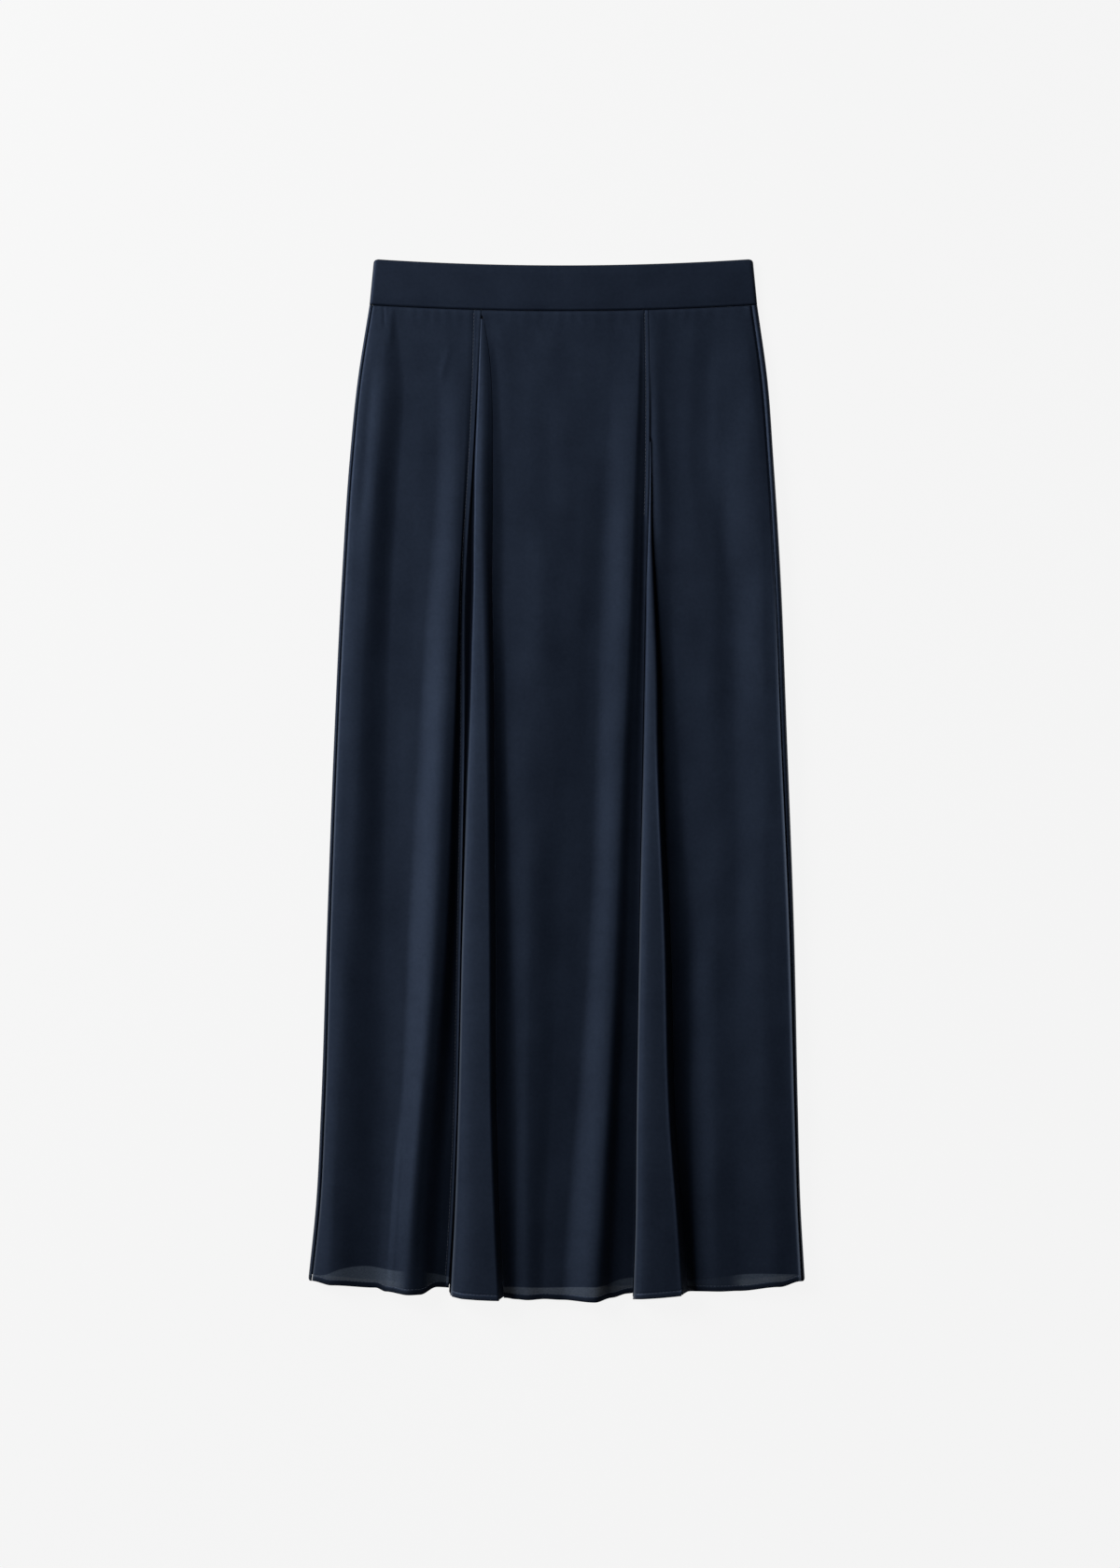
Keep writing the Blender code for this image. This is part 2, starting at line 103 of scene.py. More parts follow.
RIGHT_PLEAT = Pleat(
    seam=PLEAT_SEAM_RIGHT,
    opens=118,
    rows=(
        (118, 0.2, 0.6, 0.3, 0.5, 0.1),
        (145, 0.2, 1.4, 0.5, 1.9, 0.4),
        (195, 0.4, 3.0, 0.8, 3.2, 0.8),
        (245, 0.5, 6.5, 1.2, 4.8, 1.3),
        (320, 0.6, 11.2, 2.0, 7.1, 2.0),
        (395, 0.6, 13.2, 3.4, 8.6, 2.6),
        (565, 0.4, 23.2, 5.0, 11.0, 4.2),
        (730, 0.3, 30.4, 5.0, 12.4, 5.4),
        (815, 0.3, 37.8, 5.0, 13.0, 6.2),
        (880, 0.3, 44.3, 5.0, 13.2, 6.4),
    ),
    hem=(888.7, 891.7, 891.2, 890.2, 888.8, 887.0, 884.5),
    ridge=0.35,
    bow=4.5,
)

# A fold line: x and the rise over the flat front at each station, and its hem
Line = namedtuple("Line", "name across rise hem")

LEFT_PANEL = (
    Line("side seam", SEAM_LEFT, (0.2, 1.6, 2.4, 2.9, 3.0, 3.4, 4.6, 4.8, 4.6), 875.3),
    Line("outer crest", (-154.9, -157.5, -162.5, -170.8, -179.2, -186.8, -195.2, -199.4, -202.0),
         (0.4, 2.8, 4.0, 4.6, 4.6, 5.0, 7.4, 8.2, 8.5), 879.0),
    Line("outer valley", (-144.8, -137.0, -140.5, -147.0, -152.0, -155.0, -156.0, -160.0, -163.0),
         (0.2, 0.3, 0.2, 0.4, 0.6, 1.2, 3.2, 3.7, 3.9), 881.4),
    Line("slope foot", (-114.5, -108.0, -109.0, -116.5, -126.3, -134.5, -142.0, -149.5, -153.5),
         (0.3, 0.3, 0.4, 0.7, 1.6, 2.4, 4.4, 5.0, 5.2), 884.8),
    Line("main crest", (-86.5, -87.5, -88.0, -93.0, -101.0, -109.0, -122.5, -129.5, -132.5),
         (0.1, 0.8, 1.8, 4.0, 6.8, 10.4, 12.8, 13.4, 13.2), 887.5),
    Line("fold side", (-80.5, -81.0, -83.0, -87.5, -93.5, -100.5, -114.0, -120.5, -122.5),
         (0.1, 0.7, 1.6, 3.3, 5.7, 8.4, 10.4, 10.9, 10.8), 887.2),
    Line("main valley", (-73.5, -75.5, -79.5, -84.5, -86.2, -90.0, -97.5, -104.0, -108.0),
         (0, 0.3, 0.7, 0.9, 0.3, 0.5, 1.6, 2.8, 3.2), 880.9),
    Line("pleat edge", PLEAT_SEAM_LEFT, (0, 0.3, 0.6, 0.7, 0.3, 0.1, 0, 0, 0), 881.6),
)
CENTRE_PANEL = (
    Line("pleat edge", LEFT_PLEAT, (0, 0.8, 1.5, 3.3, 7.2, 9.6, 10.4, 10.6, 10.6), 890.0),
    Line("pleat valley", (-58.0, -51.5, -47.3, -46.5, -44.0, -39.5, -36.0, -36.0, -36.4),
         (0, 0.1, 0.5, 1.5, 2.7, 4.0, 4.6, 4.5, 4.4), 891.8),
    Line("shoulder", (-20.0, -18.0, -14.0, -11.5, -17.9, -22.5, -25.5, -26.0, -26.0),
         (0, 0.3, 0.9, 2.6, 3.8, 5.1, 5.4, 5.1, 5.1), 892.6),
    Line("middle valley", (11.5, 19.9, 22.0, 20.0, 11.0, 4.5, -5.0, -9.0, -11.0),
         (0, 0.2, 0.7, 1.7, 2.4, 3.1, 3.3, 3.3, 3.2), 891.7),
    Line("slope foot", (49.0, 47.0, 42.0, 38.5, 34.0, 27.5, 15.0, 7.5, 4.0),
         (0, 0.2, 0.5, 0.7, 1.4, 2.4, 2.9, 3.2, 3.2), 892.4),
    Line("main crest", (75.0, 73.0, 70.0, 66.5, 59.5, 52.5, 44.0, 38.5, 34.5),
         (0.1, 1.8, 2.7, 4.2, 5.3, 7.0, 10.0, 11.4, 11.6), 894.2),
    Line("fold side", (77.5, 77.3, 76.0, 73.8, 68.6, 63.8, 56.5, 53.5, 49.5),
         (0.1, 0.6, 1.2, 1.9, 2.2, 2.5, 3.3, 4.1, 4.2), 890.5),
    Line("main valley", (80.0, 80.5, 80.0, 78.6, 75.8, 71.8, 68.5, 67.0, 64.0),
         (0, 0.2, 0.4, 0.2, 0.1, 0.3, 0.5, 0.6, 0.7), 887.0),
    Line("pleat edge", PLEAT_SEAM_RIGHT, (0, 0.3, 0.5, 0.2, 0, 0, 0, 0, 0), 886.6),
)
RIGHT_PANEL = (
    Line("pleat edge", RIGHT_PLEAT, (0, 0, 0.3, 1.3, 3.4, 6.1, 7.0, 7.3, 7.3), 884.5),
    Line("inner valley", (102.2, 105.5, 107.0, 104.5, 111.0, 122.0, 122.5, 124.0, 126.5),
         (0, 0.2, 0.2, 0.2, 0.2, 0.2, 0.2, 0.2, 0.3), 885.0),
    Line("inner crest", (120.7, 121.0, 122.0, 135.0, 143.0, 144.5, 144.5, 145.0, 146.0),
         (0, 0.6, 0.9, 1.5, 2.0, 2.4, 2.6, 2.5, 2.1), 885.2),
    Line("outer valley", (137.3, 136.0, 135.0, 153.5, 158.0, 160.0, 160.0, 162.0, 164.0),
         (0, 0.5, 0.9, 1.8, 2.5, 2.8, 3.1, 2.7, 2.3), 884.5),
    Line("outer crest", (166.9, 175.3, 182.5, 187.5, 189.5, 190.5, 196.3, 198.5, 200.5),
         (0, 2.4, 4.9, 6.2, 6.6, 6.6, 6.5, 6.2, 6.0), 880.7),
    Line("side seam", SEAM_RIGHT, (0.2, 1.9, 4.6, 6.4, 7.2, 7.3, 6.9, 6.4, 6.0), 875.5),
)

# -------------------------------- the finer form
SHELL, BAND_SHELL = 0.55, 1.4

# Steps between points: over a panel, and closer near its edges, the waist seam and the hem
STEP_ACROSS, STEP_DOWN, STEP_FINE = 1.5, 3.0, 0.6
EDGE_FINE, EDGE_STEP = 7.0, 0.12
WAIST_FINE, WAIST_STEP = 9, 0.9
HEM_FINE = 24.0

# Depth and half width of the dips at seams and topstitching
SEAM_GROOVE, SEAM_GROOVE_WIDTH, WAIST_GROOVE_WIDTH = 0.7, 1.1, 1.6
STITCH_GROOVE, STITCH_GROOVE_WIDTH = 0.22, 0.6
# Puckers below the waist seam: height, length, their waver, and where they are
PUCKER_HEIGHT, PUCKER_LENGTH, WAVER, WAVER_LENGTH = 0.05, 11.3, 1.3, 17.0
PUCKER_DROP, PUCKER_REACH = 4, 9
# The pleats' topstitching: drops and its distance from the edge there, where it ends at
# the right pleat, and between which drops that edge's lip fades
LEFT_INSET = ((0, 60, 110, 880), (6.4, 4.6, 4.0, 3.8))
RIGHT_INSET = ((0, 110, 190), (3.4, 3.8, 3.6))
RIGHT_STITCH_END, RIGHT_LIP_FADE = 186, (178, 194)

# The rolled hem: its height and swell, its stitches' groove, its edge, and how much painted shade
# darkens it
ROLLED_HEM, HEM_SWELL = 4.9, 0.35
HEM_GROOVE_WIDTH, HEM_EDGE, HEM_EDGE_WIDTH = 0.7, 0.3, 0.8
ROLLED_SHADE = 0.42

# A pressed edge's two rolls, a seam allowance's lift, a lapped edge's lip, and how far a painted
# highlight reaches in from an edge
ROLL_DEPTH, ROLL_WIDTH, WIDER_ROLL, WIDER_ROLL_DEPTH = 0.8, 2.0, 3.5, 0.4
RAISED_WIDTHS, RAISED_SHARE = (8.5, 2.8), 0.3
LIP_START, LIP_ROLL, LIP_END_SHARE = -0.2, 0.6, 0.65
HIGHLIGHT_REACH = 1.7

# How much each panel's edges lift, roll, take a painted highlight or painted shade, and between
# which drops that grows
LEFT_LIFT, LEFT_LIFT_DROPS = (0.15, 0.85), (330, 520)
LEFT_ROLL, LEFT_ROLL_DROPS = 0.35, (90, 300)
# The painted highlight along the left panel's side seam edge
LEFT_HIGHLIGHT = (0.8, (120, 420))
CENTRE_LIFT, CENTRE_SWELL, CENTRE_SWELL_DROP, CENTRE_SWELL_REACH = 0.12, 0.16, 150, 70
CENTRE_OPEN_LIP = 0.1
RIGHT_LIFT, RIGHT_LIFT_DROPS = 1.5, (60, 480)
# The painted highlight just in from the right panel's side seam edge, and its inset
RIGHT_HIGHLIGHT, RIGHT_HIGHLIGHT_INSET = (0.7, (140, 520)), 0.6
# Painted shade along the right panel's left edge while the seam is closed: drops where it grows,
# width from the edge, fade once the pleat opens
SEAM_SHADE_DROPS, SEAM_SHADE_WIDTH, SEAM_SHADE_FADE = (40, 100), (0.5, 1.5), 50
SWELL_FADE_ACROSS, SWELL_FADE_DOWN = 14, 30

# The pleats' section: corner radii, the face's bow, tucked-in edge, wall at the left and
# foot at the right; then the points along it and its hem's places
PRESSED_RADIUS, SOFT_RADIUS, SOFT_TO_PRESSED_DROPS = 1.3, 3.6, (300, 480)
BOW_SHARE, BOW_LIMITS = 0.74, (0.08, 1)
TUCK_MOST, TUCK_SHARE = 1.1, 0.2
WALL_MOST, WALL_SHARE = 0.5, 0.4
FOOT_LIFT, FOOT_SHARE = 0.15, 0.8
FINE_POINTS, FACE_POINTS, LONG_SIDE, CORNER_DIVISOR = 9, 30, 9, 2.2
CORNER_SHARES = (0.2, 0.4, 0.6, 0.8)
WALL_END, FACE_START, FACE_END = 1.9, 2, 3
HEM_PLACES = (0, 2, 2.25, 2.5, 2.75, 3, 4)
RIDGE_FACE, RIDGE_INSET, RIDGE_WIDTH = (6, 16), 0.9, 1.3
PLEAT_SWELL, PLEAT_SWELL_START, PLEAT_SWELL_END = 0.5, 20, 120
PLEAT_ROLL_FACE = (3, 9)
# The painted highlight along the pleat face's left edge: its most, the drops where it grows, its
# inset
PLEAT_HIGHLIGHT, PLEAT_HIGHLIGHT_INSET = (0.75, (280, 620)), 0.4

# The back: points along its section, how far round its side top and underside reach; on
# the underside, how far seams and stitches draw in, puckers and the most rise
NEAR_SEAM = (0, 0.0015, 0.005, 0.01, 0.017)
BACK_COLUMNS, BACK_SIDE_STEPS, STRIP_SHARES = 33, 14, (0.25, 0.5, 0.75, 1)
ON_TOP, ON_UNDERSIDE = (0.92, 1), (0, 0.12)
BACK_SEAM, BACK_SEAM_WIDTH, BACK_WAIST, BACK_HEM_GROOVE = 0.45, 1.4, 0.4, 0.25
BACK_PUCKER, BACK_PUCKER_LENGTH, BACK_WAVER, BACK_WAVER_LENGTH = 0.07, 6.1, 1.7, 41
BACK_PUCKER_DROP, BACK_PUCKER_REACH, BACK_MOST = 5, 12, 1.0

# The lining's points and ripple, and the waistband's
LINING_COLUMNS, LINING_WAVE, LINING_TURN = 121, 9.0, 150
FRONT_RIPPLE, BACK_RIPPLE = 0.10, 0.05
BAND_ROWS = ((0, 0.12, 9), (0.16, 0.9, 22), (0.92, 1, 7))
BAND_UNDER, BAND_OVER, BAND_SIDE_STEPS = 29, 160, 12
BAND_FULLNESS, BAND_FULL_AT, BAND_EDGE, BAND_EDGE_WIDTH = 0.35, 9, 0.75, 0.9
BAND_WAVES, BAND_WAVES_AT = ((0.12, 21, 2.1), (0.08, 9.1, -3)), 8

# Stitches: length, pause and radius; each ring's place along a thread and its share of
# the radius; sides, arch, flattening and height above the cloth
TOPSTITCH, HEM_STITCH = (2.4, 0.8, 0.2), (2.2, 1.0, 0.18)
STITCH_RINGS = ((0.0, 0.25), (0.18, 0.85), (0.5, 1.0), (0.82, 0.85), (1.0, 0.25))
STITCH_SIDES, STITCH_ARCH, STITCH_FLATNESS = 6, 0.5, 0.8
STITCH_CLEAR, HEM_STITCH_CLEAR = 0.1, 0.12
TOPSTITCH_START, TOPSTITCH_END = 2, 876
PANEL_INNER, PLEAT_INNER = slice(1, -1), slice(9, -9)

# The lining's hem edge: x and drop
LINING_HEM = ((-222, 869), (-211, 870), (-194, 864.5), (-169, 862), (-152, 865), (-114, 868),
              (-80, 876), (-47, 880), (-14, 881.4), (20, 880.6), (41, 879.6), (58, 874), (90, 873),
              (129, 874.5), (171, 869.3), (213, 869.3), (222, 869.5))
# How much painted light shows through the single, see-through layer below it: x and share
LIT_THROUGH_SHARES = ((-222, 0.6), (-205, 0.9), (-150, 1.0), (-143, 0.7), (-135, 0), (-119, 0), (-113, 0.8),
         (-98, 0.8), (-47, 0.6), (-20, 0.85), (38, 0.9), (46, 0.5), (60, 0.8), (117, 0.5),
         (128, 0.15), (156, 0.12), (168, 0.9), (205, 0.9), (216, 0.4))

# Long soft swells of the laid cloth: wavelengths across and along, height, phase
SWELLS = ((47, 310, 0.09, 0.3), (33, -220, 0.05, 1.9), (71, 120, 0.09, 4.1),
          (25, 410, 0.03, 2.2), (58, -86, 0.05, 5.0), (90, 61, 0.05, 3.3))

# Small creases and rolls on each panel: both ends as (x, drop), half width and
# height, down if negative. The underside only gives upwards. Each fades in and out
# between shares of its length
CREASE_IN, CREASE_OUT = (-0.2, 0.25), (0.75, 1.2)
CREASES = {
    "left": (
        ((-155.7, -2), (-155, 18), 1.6, -0.2), ((-147.5, -2), (-150.5, 34), 3.2, 0.3),
        ((-167, 62), (-175, 190), 5, -0.5), ((-140, 740), (-149.5, 885), 2.6, 0.8),
        ((-96, 32), (-104, 62), 3, 0.2),
    ),
    "centre": (
        ((-57, 16), (-25, 26), 2.4, 0.25), ((-52, 30), (-30, 40), 2.6, -0.22),
    ),
    "right": (
        ((87.5, 0), (88.5, 60), 9, 0.7), ((89, 60), (95, 215), 6.5, 1),
        ((142.5, 60), (143, 300), 8, 0.35),
    ),
    "back": (
        ((-18, 150), (-30, 900), 13, 0.7), ((-66, 40), (-96, 620), 9, 0.55),
        ((-98, 330), (-140, 900), 15, 0.75), ((-150, 60), (-168, 420), 7, 0.45),
        ((-168, 520), (-190, 900), 9, 0.6), ((-44, 8), (-52, 130), 4, 0.4),
        ((-118, 6), (-108, 90), 5, 0.35), ((24, 90), (52, 760), 12, 0.65),
        ((78, 240), (92, 900), 16, 0.8), ((104, 30), (122, 380), 8, 0.5),
        ((136, 420), (158, 900), 11, 0.6), ((168, 110), (188, 700), 6, 0.5),
        ((36, 6), (33, 110), 4.5, 0.4), ((150, 4), (141, 70), 5, 0.35),
        ((-120, 210), (-72, 262), 6, 0.3), ((60, 560), (120, 604), 7, 0.35),
    ),
}


def creases_of(panel, x, drop):
    """The rise of a panel's own creases, each fading out towards its ends."""
    total = np.zeros_like(x)
    for start, end, width, height in CREASES[panel]:
        run = np.subtract(end, start)
        length = np.linalg.norm(run)
        along = ((x - start[0]) * run[0] + (drop - start[1]) * run[1]) / length
        beside = ((x - start[0]) * run[1] - (drop - start[1]) * run[0]) / length
        fade_in = ramp(along, CREASE_IN[0] * length, CREASE_IN[1] * length)
        fade_out = 1 - ramp(along, CREASE_OUT[0] * length, CREASE_OUT[1] * length)
        total = total + height * bell(beside, width) * (fade_in * fade_out)
    return total


def between(a, b, slope_a, slope_b, width, t):
    """A value at t between a and b, with those slopes at the two ends."""
    return ((2 * t**3 - 3 * t**2 + 1) * a + (t**3 - 2 * t**2 + t) * width * slope_a
            + (3 * t**2 - 2 * t**3) * b + (t**3 - t**2) * width * slope_b)


def curve(xs, ys, x):
    """y at each x, on a smooth curve through the points (xs, ys)."""
    xs, ys, x = np.asarray(xs, float), np.asarray(ys, float), np.asarray(x, float)
    slopes = np.gradient(ys, xs)
    k = np.clip(np.searchsorted(xs, x, side="right") - 1, 0, len(xs) - 2)
    width = xs[k + 1] - xs[k]
    t = np.clip((x - xs[k]) / width, 0, 1)
    return between(ys[k], ys[k + 1], slopes[k], slopes[k + 1], width, t)


def track(values, drops):
    """A table's value at each drop."""
    return curve(STATIONS, values, drops)


def mix(a, b, t):
    return a + (b - a) * t


def bell(distance, width):
    """1 at no distance, and close to 0 at two widths."""
    return np.exp(-(distance / width) ** 2)


def ramp(value, low, high):
    """0 below low, 1 above high, with level ends."""
    t = np.clip((value - low) / (high - low), 0, 1)
    return t * t * (3 - 2 * t)


def seam_drop(x):
    return SEAM_DROP - SEAM_RISE * ((x - WAIST_MIDDLE) / SEAM_HALF) ** 2


def top_drop(x):
    return TOP_DROP - TOP_RISE * ((x - WAIST_MIDDLE) / TOP_HALF) ** 2


def back_hem(x):
    return BACK_HEM - BACK_HEM_RISE * (x / HEM_HALF) ** 2


def swell(x, y):
    """The laid cloth's own long, soft unevenness."""
    return sum(height * np.sin(2 * math.pi * (x / across + y / along) + phase)
               for across, along, height, phase in SWELLS)


def pleat_sizes(pleat, drops):
    """The pleat's gap, face, spread, rise and lean at each drop."""
    table = np.array(pleat.rows, float)
    return [curve(table[:, 0], table[:, k], drops) for k in range(1, table.shape[1])]


def pleat_foot(pleat, drops):
    """x of the panel edge at the pleat's right, closed up above where it opens."""
    seam = track(pleat.seam, drops)
    gap, face, spread = pleat_sizes(pleat, np.maximum(drops, pleat.opens))[:3]
    opened = gap + face + spread
    share = np.clip((drops - pleat.opens + PLEAT_JOG) / PLEAT_JOG, 0, 1)
    return seam + GAP + share * opened


def line_x(line, drops):
    """x of a fold line, which may run at the right of a pleat."""
    if isinstance(line.across, Pleat):
        return pleat_foot(line.across, drops)
    return track(line.across, drops)


def spaced(low, high, step, fine, at_low, at_high):
    """Places from low to high a step apart, closer together near the ends that ask for it."""
    near = np.concatenate([[0, EDGE_STEP], np.arange(fine, EDGE_FINE, fine)])
    places = [np.linspace(low, high, max(int(math.ceil((high - low) / step)), 2) + 1)]
    if at_low:
        places.append(low + near[near < high - low])
    if at_high:
        places.append(high - near[near < high - low])
    places = np.unique(np.concatenate(places))
    keep = np.concatenate([[True], np.diff(places) > 0.8 * EDGE_STEP])
    keep[-1] = True
    return places[keep]


def drops_from(start):
    """Drops of the rows of points, closest at the waist seam and the hem."""
    top = np.arange(start, start + WAIST_FINE, WAIST_STEP)
    middle = np.arange(start + WAIST_FINE, LENGTH - HEM_FINE, STEP_DOWN)
    hem = np.linspace(LENGTH - HEM_FINE, LENGTH, int(HEM_FINE / STEP_FINE) + 1)
    return np.concatenate([top, middle, hem])


def down(x, share, hem):
    """y at a share of the way from the waist seam to a hem."""
    return WAIST_Y - mix(seam_drop(x) + GAP / 2, hem, share)


class Surface:
    """Rows of points of a piece's outer side, with how far each is from its edges."""

    def __init__(self, x, z, hem, drops):
        self.share = np.broadcast_to((drops / LENGTH)[:, None], x.shape)
        self.drops = np.broadcast_to(drops[:, None], x.shape)
        self.x, self.z, self.hem = x, z, np.broadcast_to(hem, x.shape)
        self.y = down(x, self.share, self.hem)
        self.above_hem = (self.hem - seam_drop(x)) * (1 - self.share)
        self.below_seam = WAIST_Y - self.y - seam_drop(x)
        # A painted highlight on pressed edges and painted shade in deep folds, none until a piece
        # sets them
        self.pressed, self.inside = np.zeros_like(x), np.zeros_like(x)

    def points(self):
        return np.stack([self.x, self.y, self.z], axis=-1) * MM

    def along(self, line, place, distance, clear):
        """The point of a line of points at a place in its rising distance, a little raised."""
        x, y, z = (np.interp(place, distance, v[line]) for v in (self.x, self.y, self.z))
        return x, y, z + clear

    def hem_relief(self):
        """The rolled hem's swell, with the groove that its stitches pull."""
        roll = 1 - ramp(self.above_hem, ROLLED_HEM - 0.5, ROLLED_HEM + 0.3)
        groove = bell(self.above_hem - ROLLED_HEM, HEM_GROOVE_WIDTH)
        edge = bell(self.above_hem, HEM_EDGE_WIDTH)
        return HEM_SWELL * roll - STITCH_GROOVE * groove - HEM_EDGE * edge

    def waist_relief(self):
        """Cloth dips into the waist seam and puckers a little below it."""
        waver = WAVER * np.sin(self.x / WAVER_LENGTH)
        pucker = PUCKER_HEIGHT * np.sin(2 * math.pi * self.x / PUCKER_LENGTH + waver)
        groove = -SEAM_GROOVE * bell(self.below_seam, WAIST_GROOVE_WIDTH)
        return groove + pucker * bell(self.below_seam - PUCKER_DROP, PUCKER_REACH)

    def fields(self, painted_hem_light=True):
        """What the cloth's material reads: places above the hem and below the lining, and how
        see-through and lit by painted light, and how much painted highlight and painted shade a
        point has."""
        below_lining = WAIST_Y - self.y - curve(*zip(*LINING_HEM), self.x)
        share, inside = np.zeros_like(self.x), self.inside
        if painted_hem_light:
            # Painted light showing through the single layer above the hem
            xs, shares = zip(*LIT_THROUGH_SHARES)
            share = np.interp(self.x, xs, shares)
            # The rolled hem gets painted shade: darker and with less sheen
            rolled = 1 - ramp(self.above_hem, ROLLED_HEM - 0.4, ROLLED_HEM + 0.2)
            inside = np.maximum(inside, ROLLED_SHADE * rolled)
        return {"above_hem": self.above_hem, "below_lining": below_lining, "painted_hem_light": share,
                "pressed": self.pressed, "inside": inside}


def eased_rise(xs, zs, k, t):
    """z at shares t of the spans k between fold lines: level at each crest and valley,
    and with one slope on both sides of a line that is neither. The left edge isn't level:
    the cloth comes up or down to it in one curve."""
    width = np.diff(xs, axis=1)
    slope = np.diff(zs, axis=1) / width
    before, after = slope[:, :-1], slope[:, 1:]
    level = before * after <= 0
    safe = np.where(level, 1, before + after)
    inner = np.where(level, 0, 2 * before * after / safe)
    tangent = np.pad(inner, ((0, 0), (1, 1)))
    tangent[:, 0] = 1.5 * slope[:, 0] - 0.5 * tangent[:, 1]
    return between(zs[:, k], zs[:, k + 1], tangent[:, k], tangent[:, k + 1], width[:, k], t)


def panel_surface(lines):
    """A front panel, from its fold lines."""
    drops = drops_from(0)
    xs = np.stack([line_x(line, drops) for line in lines], axis=1)
    rises = np.stack([track(line.rise, drops) for line in lines], axis=1)
    hems = np.array([line.hem for line in lines])
    spans, shares = [], []
    for k in range(len(lines) - 1):
        wide = float(np.diff(xs[:, k:k + 2], axis=1).mean())
        places = spaced(0, wide, STEP_ACROSS, STEP_FINE, k == 0, k == len(lines) - 2) / wide
        last = None if k == len(lines) - 2 else -1
        shares.append(places[:last])
        spans.append(np.full(len(places[:last]), k))
    k, t = np.concatenate(spans), np.concatenate(shares)
    x = mix(xs[:, k], xs[:, k + 1], t)
    z = STACK + eased_rise(xs, rises, k, t)
    hem = mix(hems[k], hems[k + 1], t * t * (3 - 2 * t))
    surface = Surface(x, z, hem, drops)
    surface.from_left = x - xs[:, :1]
    surface.from_right = xs[:, -1:] - x
    return surface


def pressed_edge(distance, drops, most, grows):
    """A painted highlight along a fold's ironed edge, growing between two drops."""
    return most * (1 - np.clip(np.abs(distance) / HIGHLIGHT_REACH, 0, 1)) * ramp(drops, *grows)


def seam_edge(distance):
    """Cloth rolls down into a seam."""
    return -SEAM_GROOVE * bell(distance, SEAM_GROOVE_WIDTH)


def rolled_edge(distance):
    """An ironed edge turns down in a narrow roll, with a slighter one further in."""
    narrow = 1 - np.clip(distance / ROLL_WIDTH, 0, 1)
    wide = 1 - np.clip(distance / (WIDER_ROLL * ROLL_WIDTH), 0, 1)
    return -ROLL_DEPTH * (narrow**2 + WIDER_ROLL_DEPTH * wide**2)


def raised_edge(distance, lift):
    """A side seam whose allowance lifts the cloth, most of all in its last few millimetres."""
    wide, narrow = (1 - np.clip(distance / width, 0, 1) for width in RAISED_WIDTHS)
    return lift * (RAISED_SHARE * wide**2 + narrow**2) + seam_edge(distance)


def lapped_edge(distance, stitch_line, lift):
    """A folded edge that rises from its topstitching, in a groove, to a lip."""
    up = ramp(distance, LIP_START, LIP_ROLL)
    lip = up - ramp(distance, LIP_ROLL, LIP_END_SHARE * stitch_line)
    return lip * lift - STITCH_GROOVE * bell(distance - stitch_line, STITCH_GROOVE_WIDTH)


def finish(surface, panel, *edges):
    """Add a front panel's edges, seam, hem, swells and creases to its folds."""
    surface.z = (sum(edges, surface.z) + surface.waist_relief() + surface.hem_relief()
                 + swell(surface.x, surface.y) * edge_fade(surface)
                 + creases_of(panel, surface.x, surface.drops))


def finish_left_panel(surface):
    lift = mix(*LEFT_LIFT, ramp(surface.drops, *LEFT_LIFT_DROPS))
    edge = lapped_edge(surface.from_right, np.interp(surface.drops, *LEFT_INSET), lift)
    roll = rolled_edge(surface.from_left) * mix(LEFT_ROLL, 1, ramp(surface.drops, *LEFT_ROLL_DROPS))
    finish(surface, "left", roll, edge)
    # A painted highlight along the left side seam's edge
    surface.pressed = pressed_edge(surface.from_left, surface.drops, *LEFT_HIGHLIGHT)


def finish_centre_panel(surface):
    stitched = 1 - ramp(surface.drops, *RIGHT_LIP_FADE)
    lift = CENTRE_LIFT + CENTRE_SWELL * bell(surface.drops - CENTRE_SWELL_DROP, CENTRE_SWELL_REACH)
    edge = lapped_edge(surface.from_right, np.interp(surface.drops, *RIGHT_INSET), lift)
    finish(surface, "centre", edge * mix(CENTRE_OPEN_LIP, 1, stitched))


def finish_right_panel(surface):
    finish(surface, "right",
           raised_edge(surface.from_right, RIGHT_LIFT * ramp(surface.drops, *RIGHT_LIFT_DROPS)))
    in_from_right = surface.from_right - RIGHT_HIGHLIGHT_INSET
    # A painted highlight just in from the right side seam's edge
    surface.pressed = pressed_edge(in_from_right, surface.drops, *RIGHT_HIGHLIGHT)
    # Painted shade along the closed seam's edge, where it rolls into the seam
    closed = 1 - ramp(surface.drops, RIGHT_PLEAT.opens, RIGHT_PLEAT.opens + SEAM_SHADE_FADE)
    edge = 1 - ramp(surface.from_left, *SEAM_SHADE_WIDTH)
    surface.inside = closed * ramp(surface.drops, *SEAM_SHADE_DROPS) * edge


def edge_fade(surface):
    """The swells die away towards a panel's seams."""
    across = ramp(np.minimum(surface.from_left, surface.from_right), 0, SWELL_FADE_ACROSS)
    return across * ramp(surface.below_seam, 0, SWELL_FADE_DOWN)


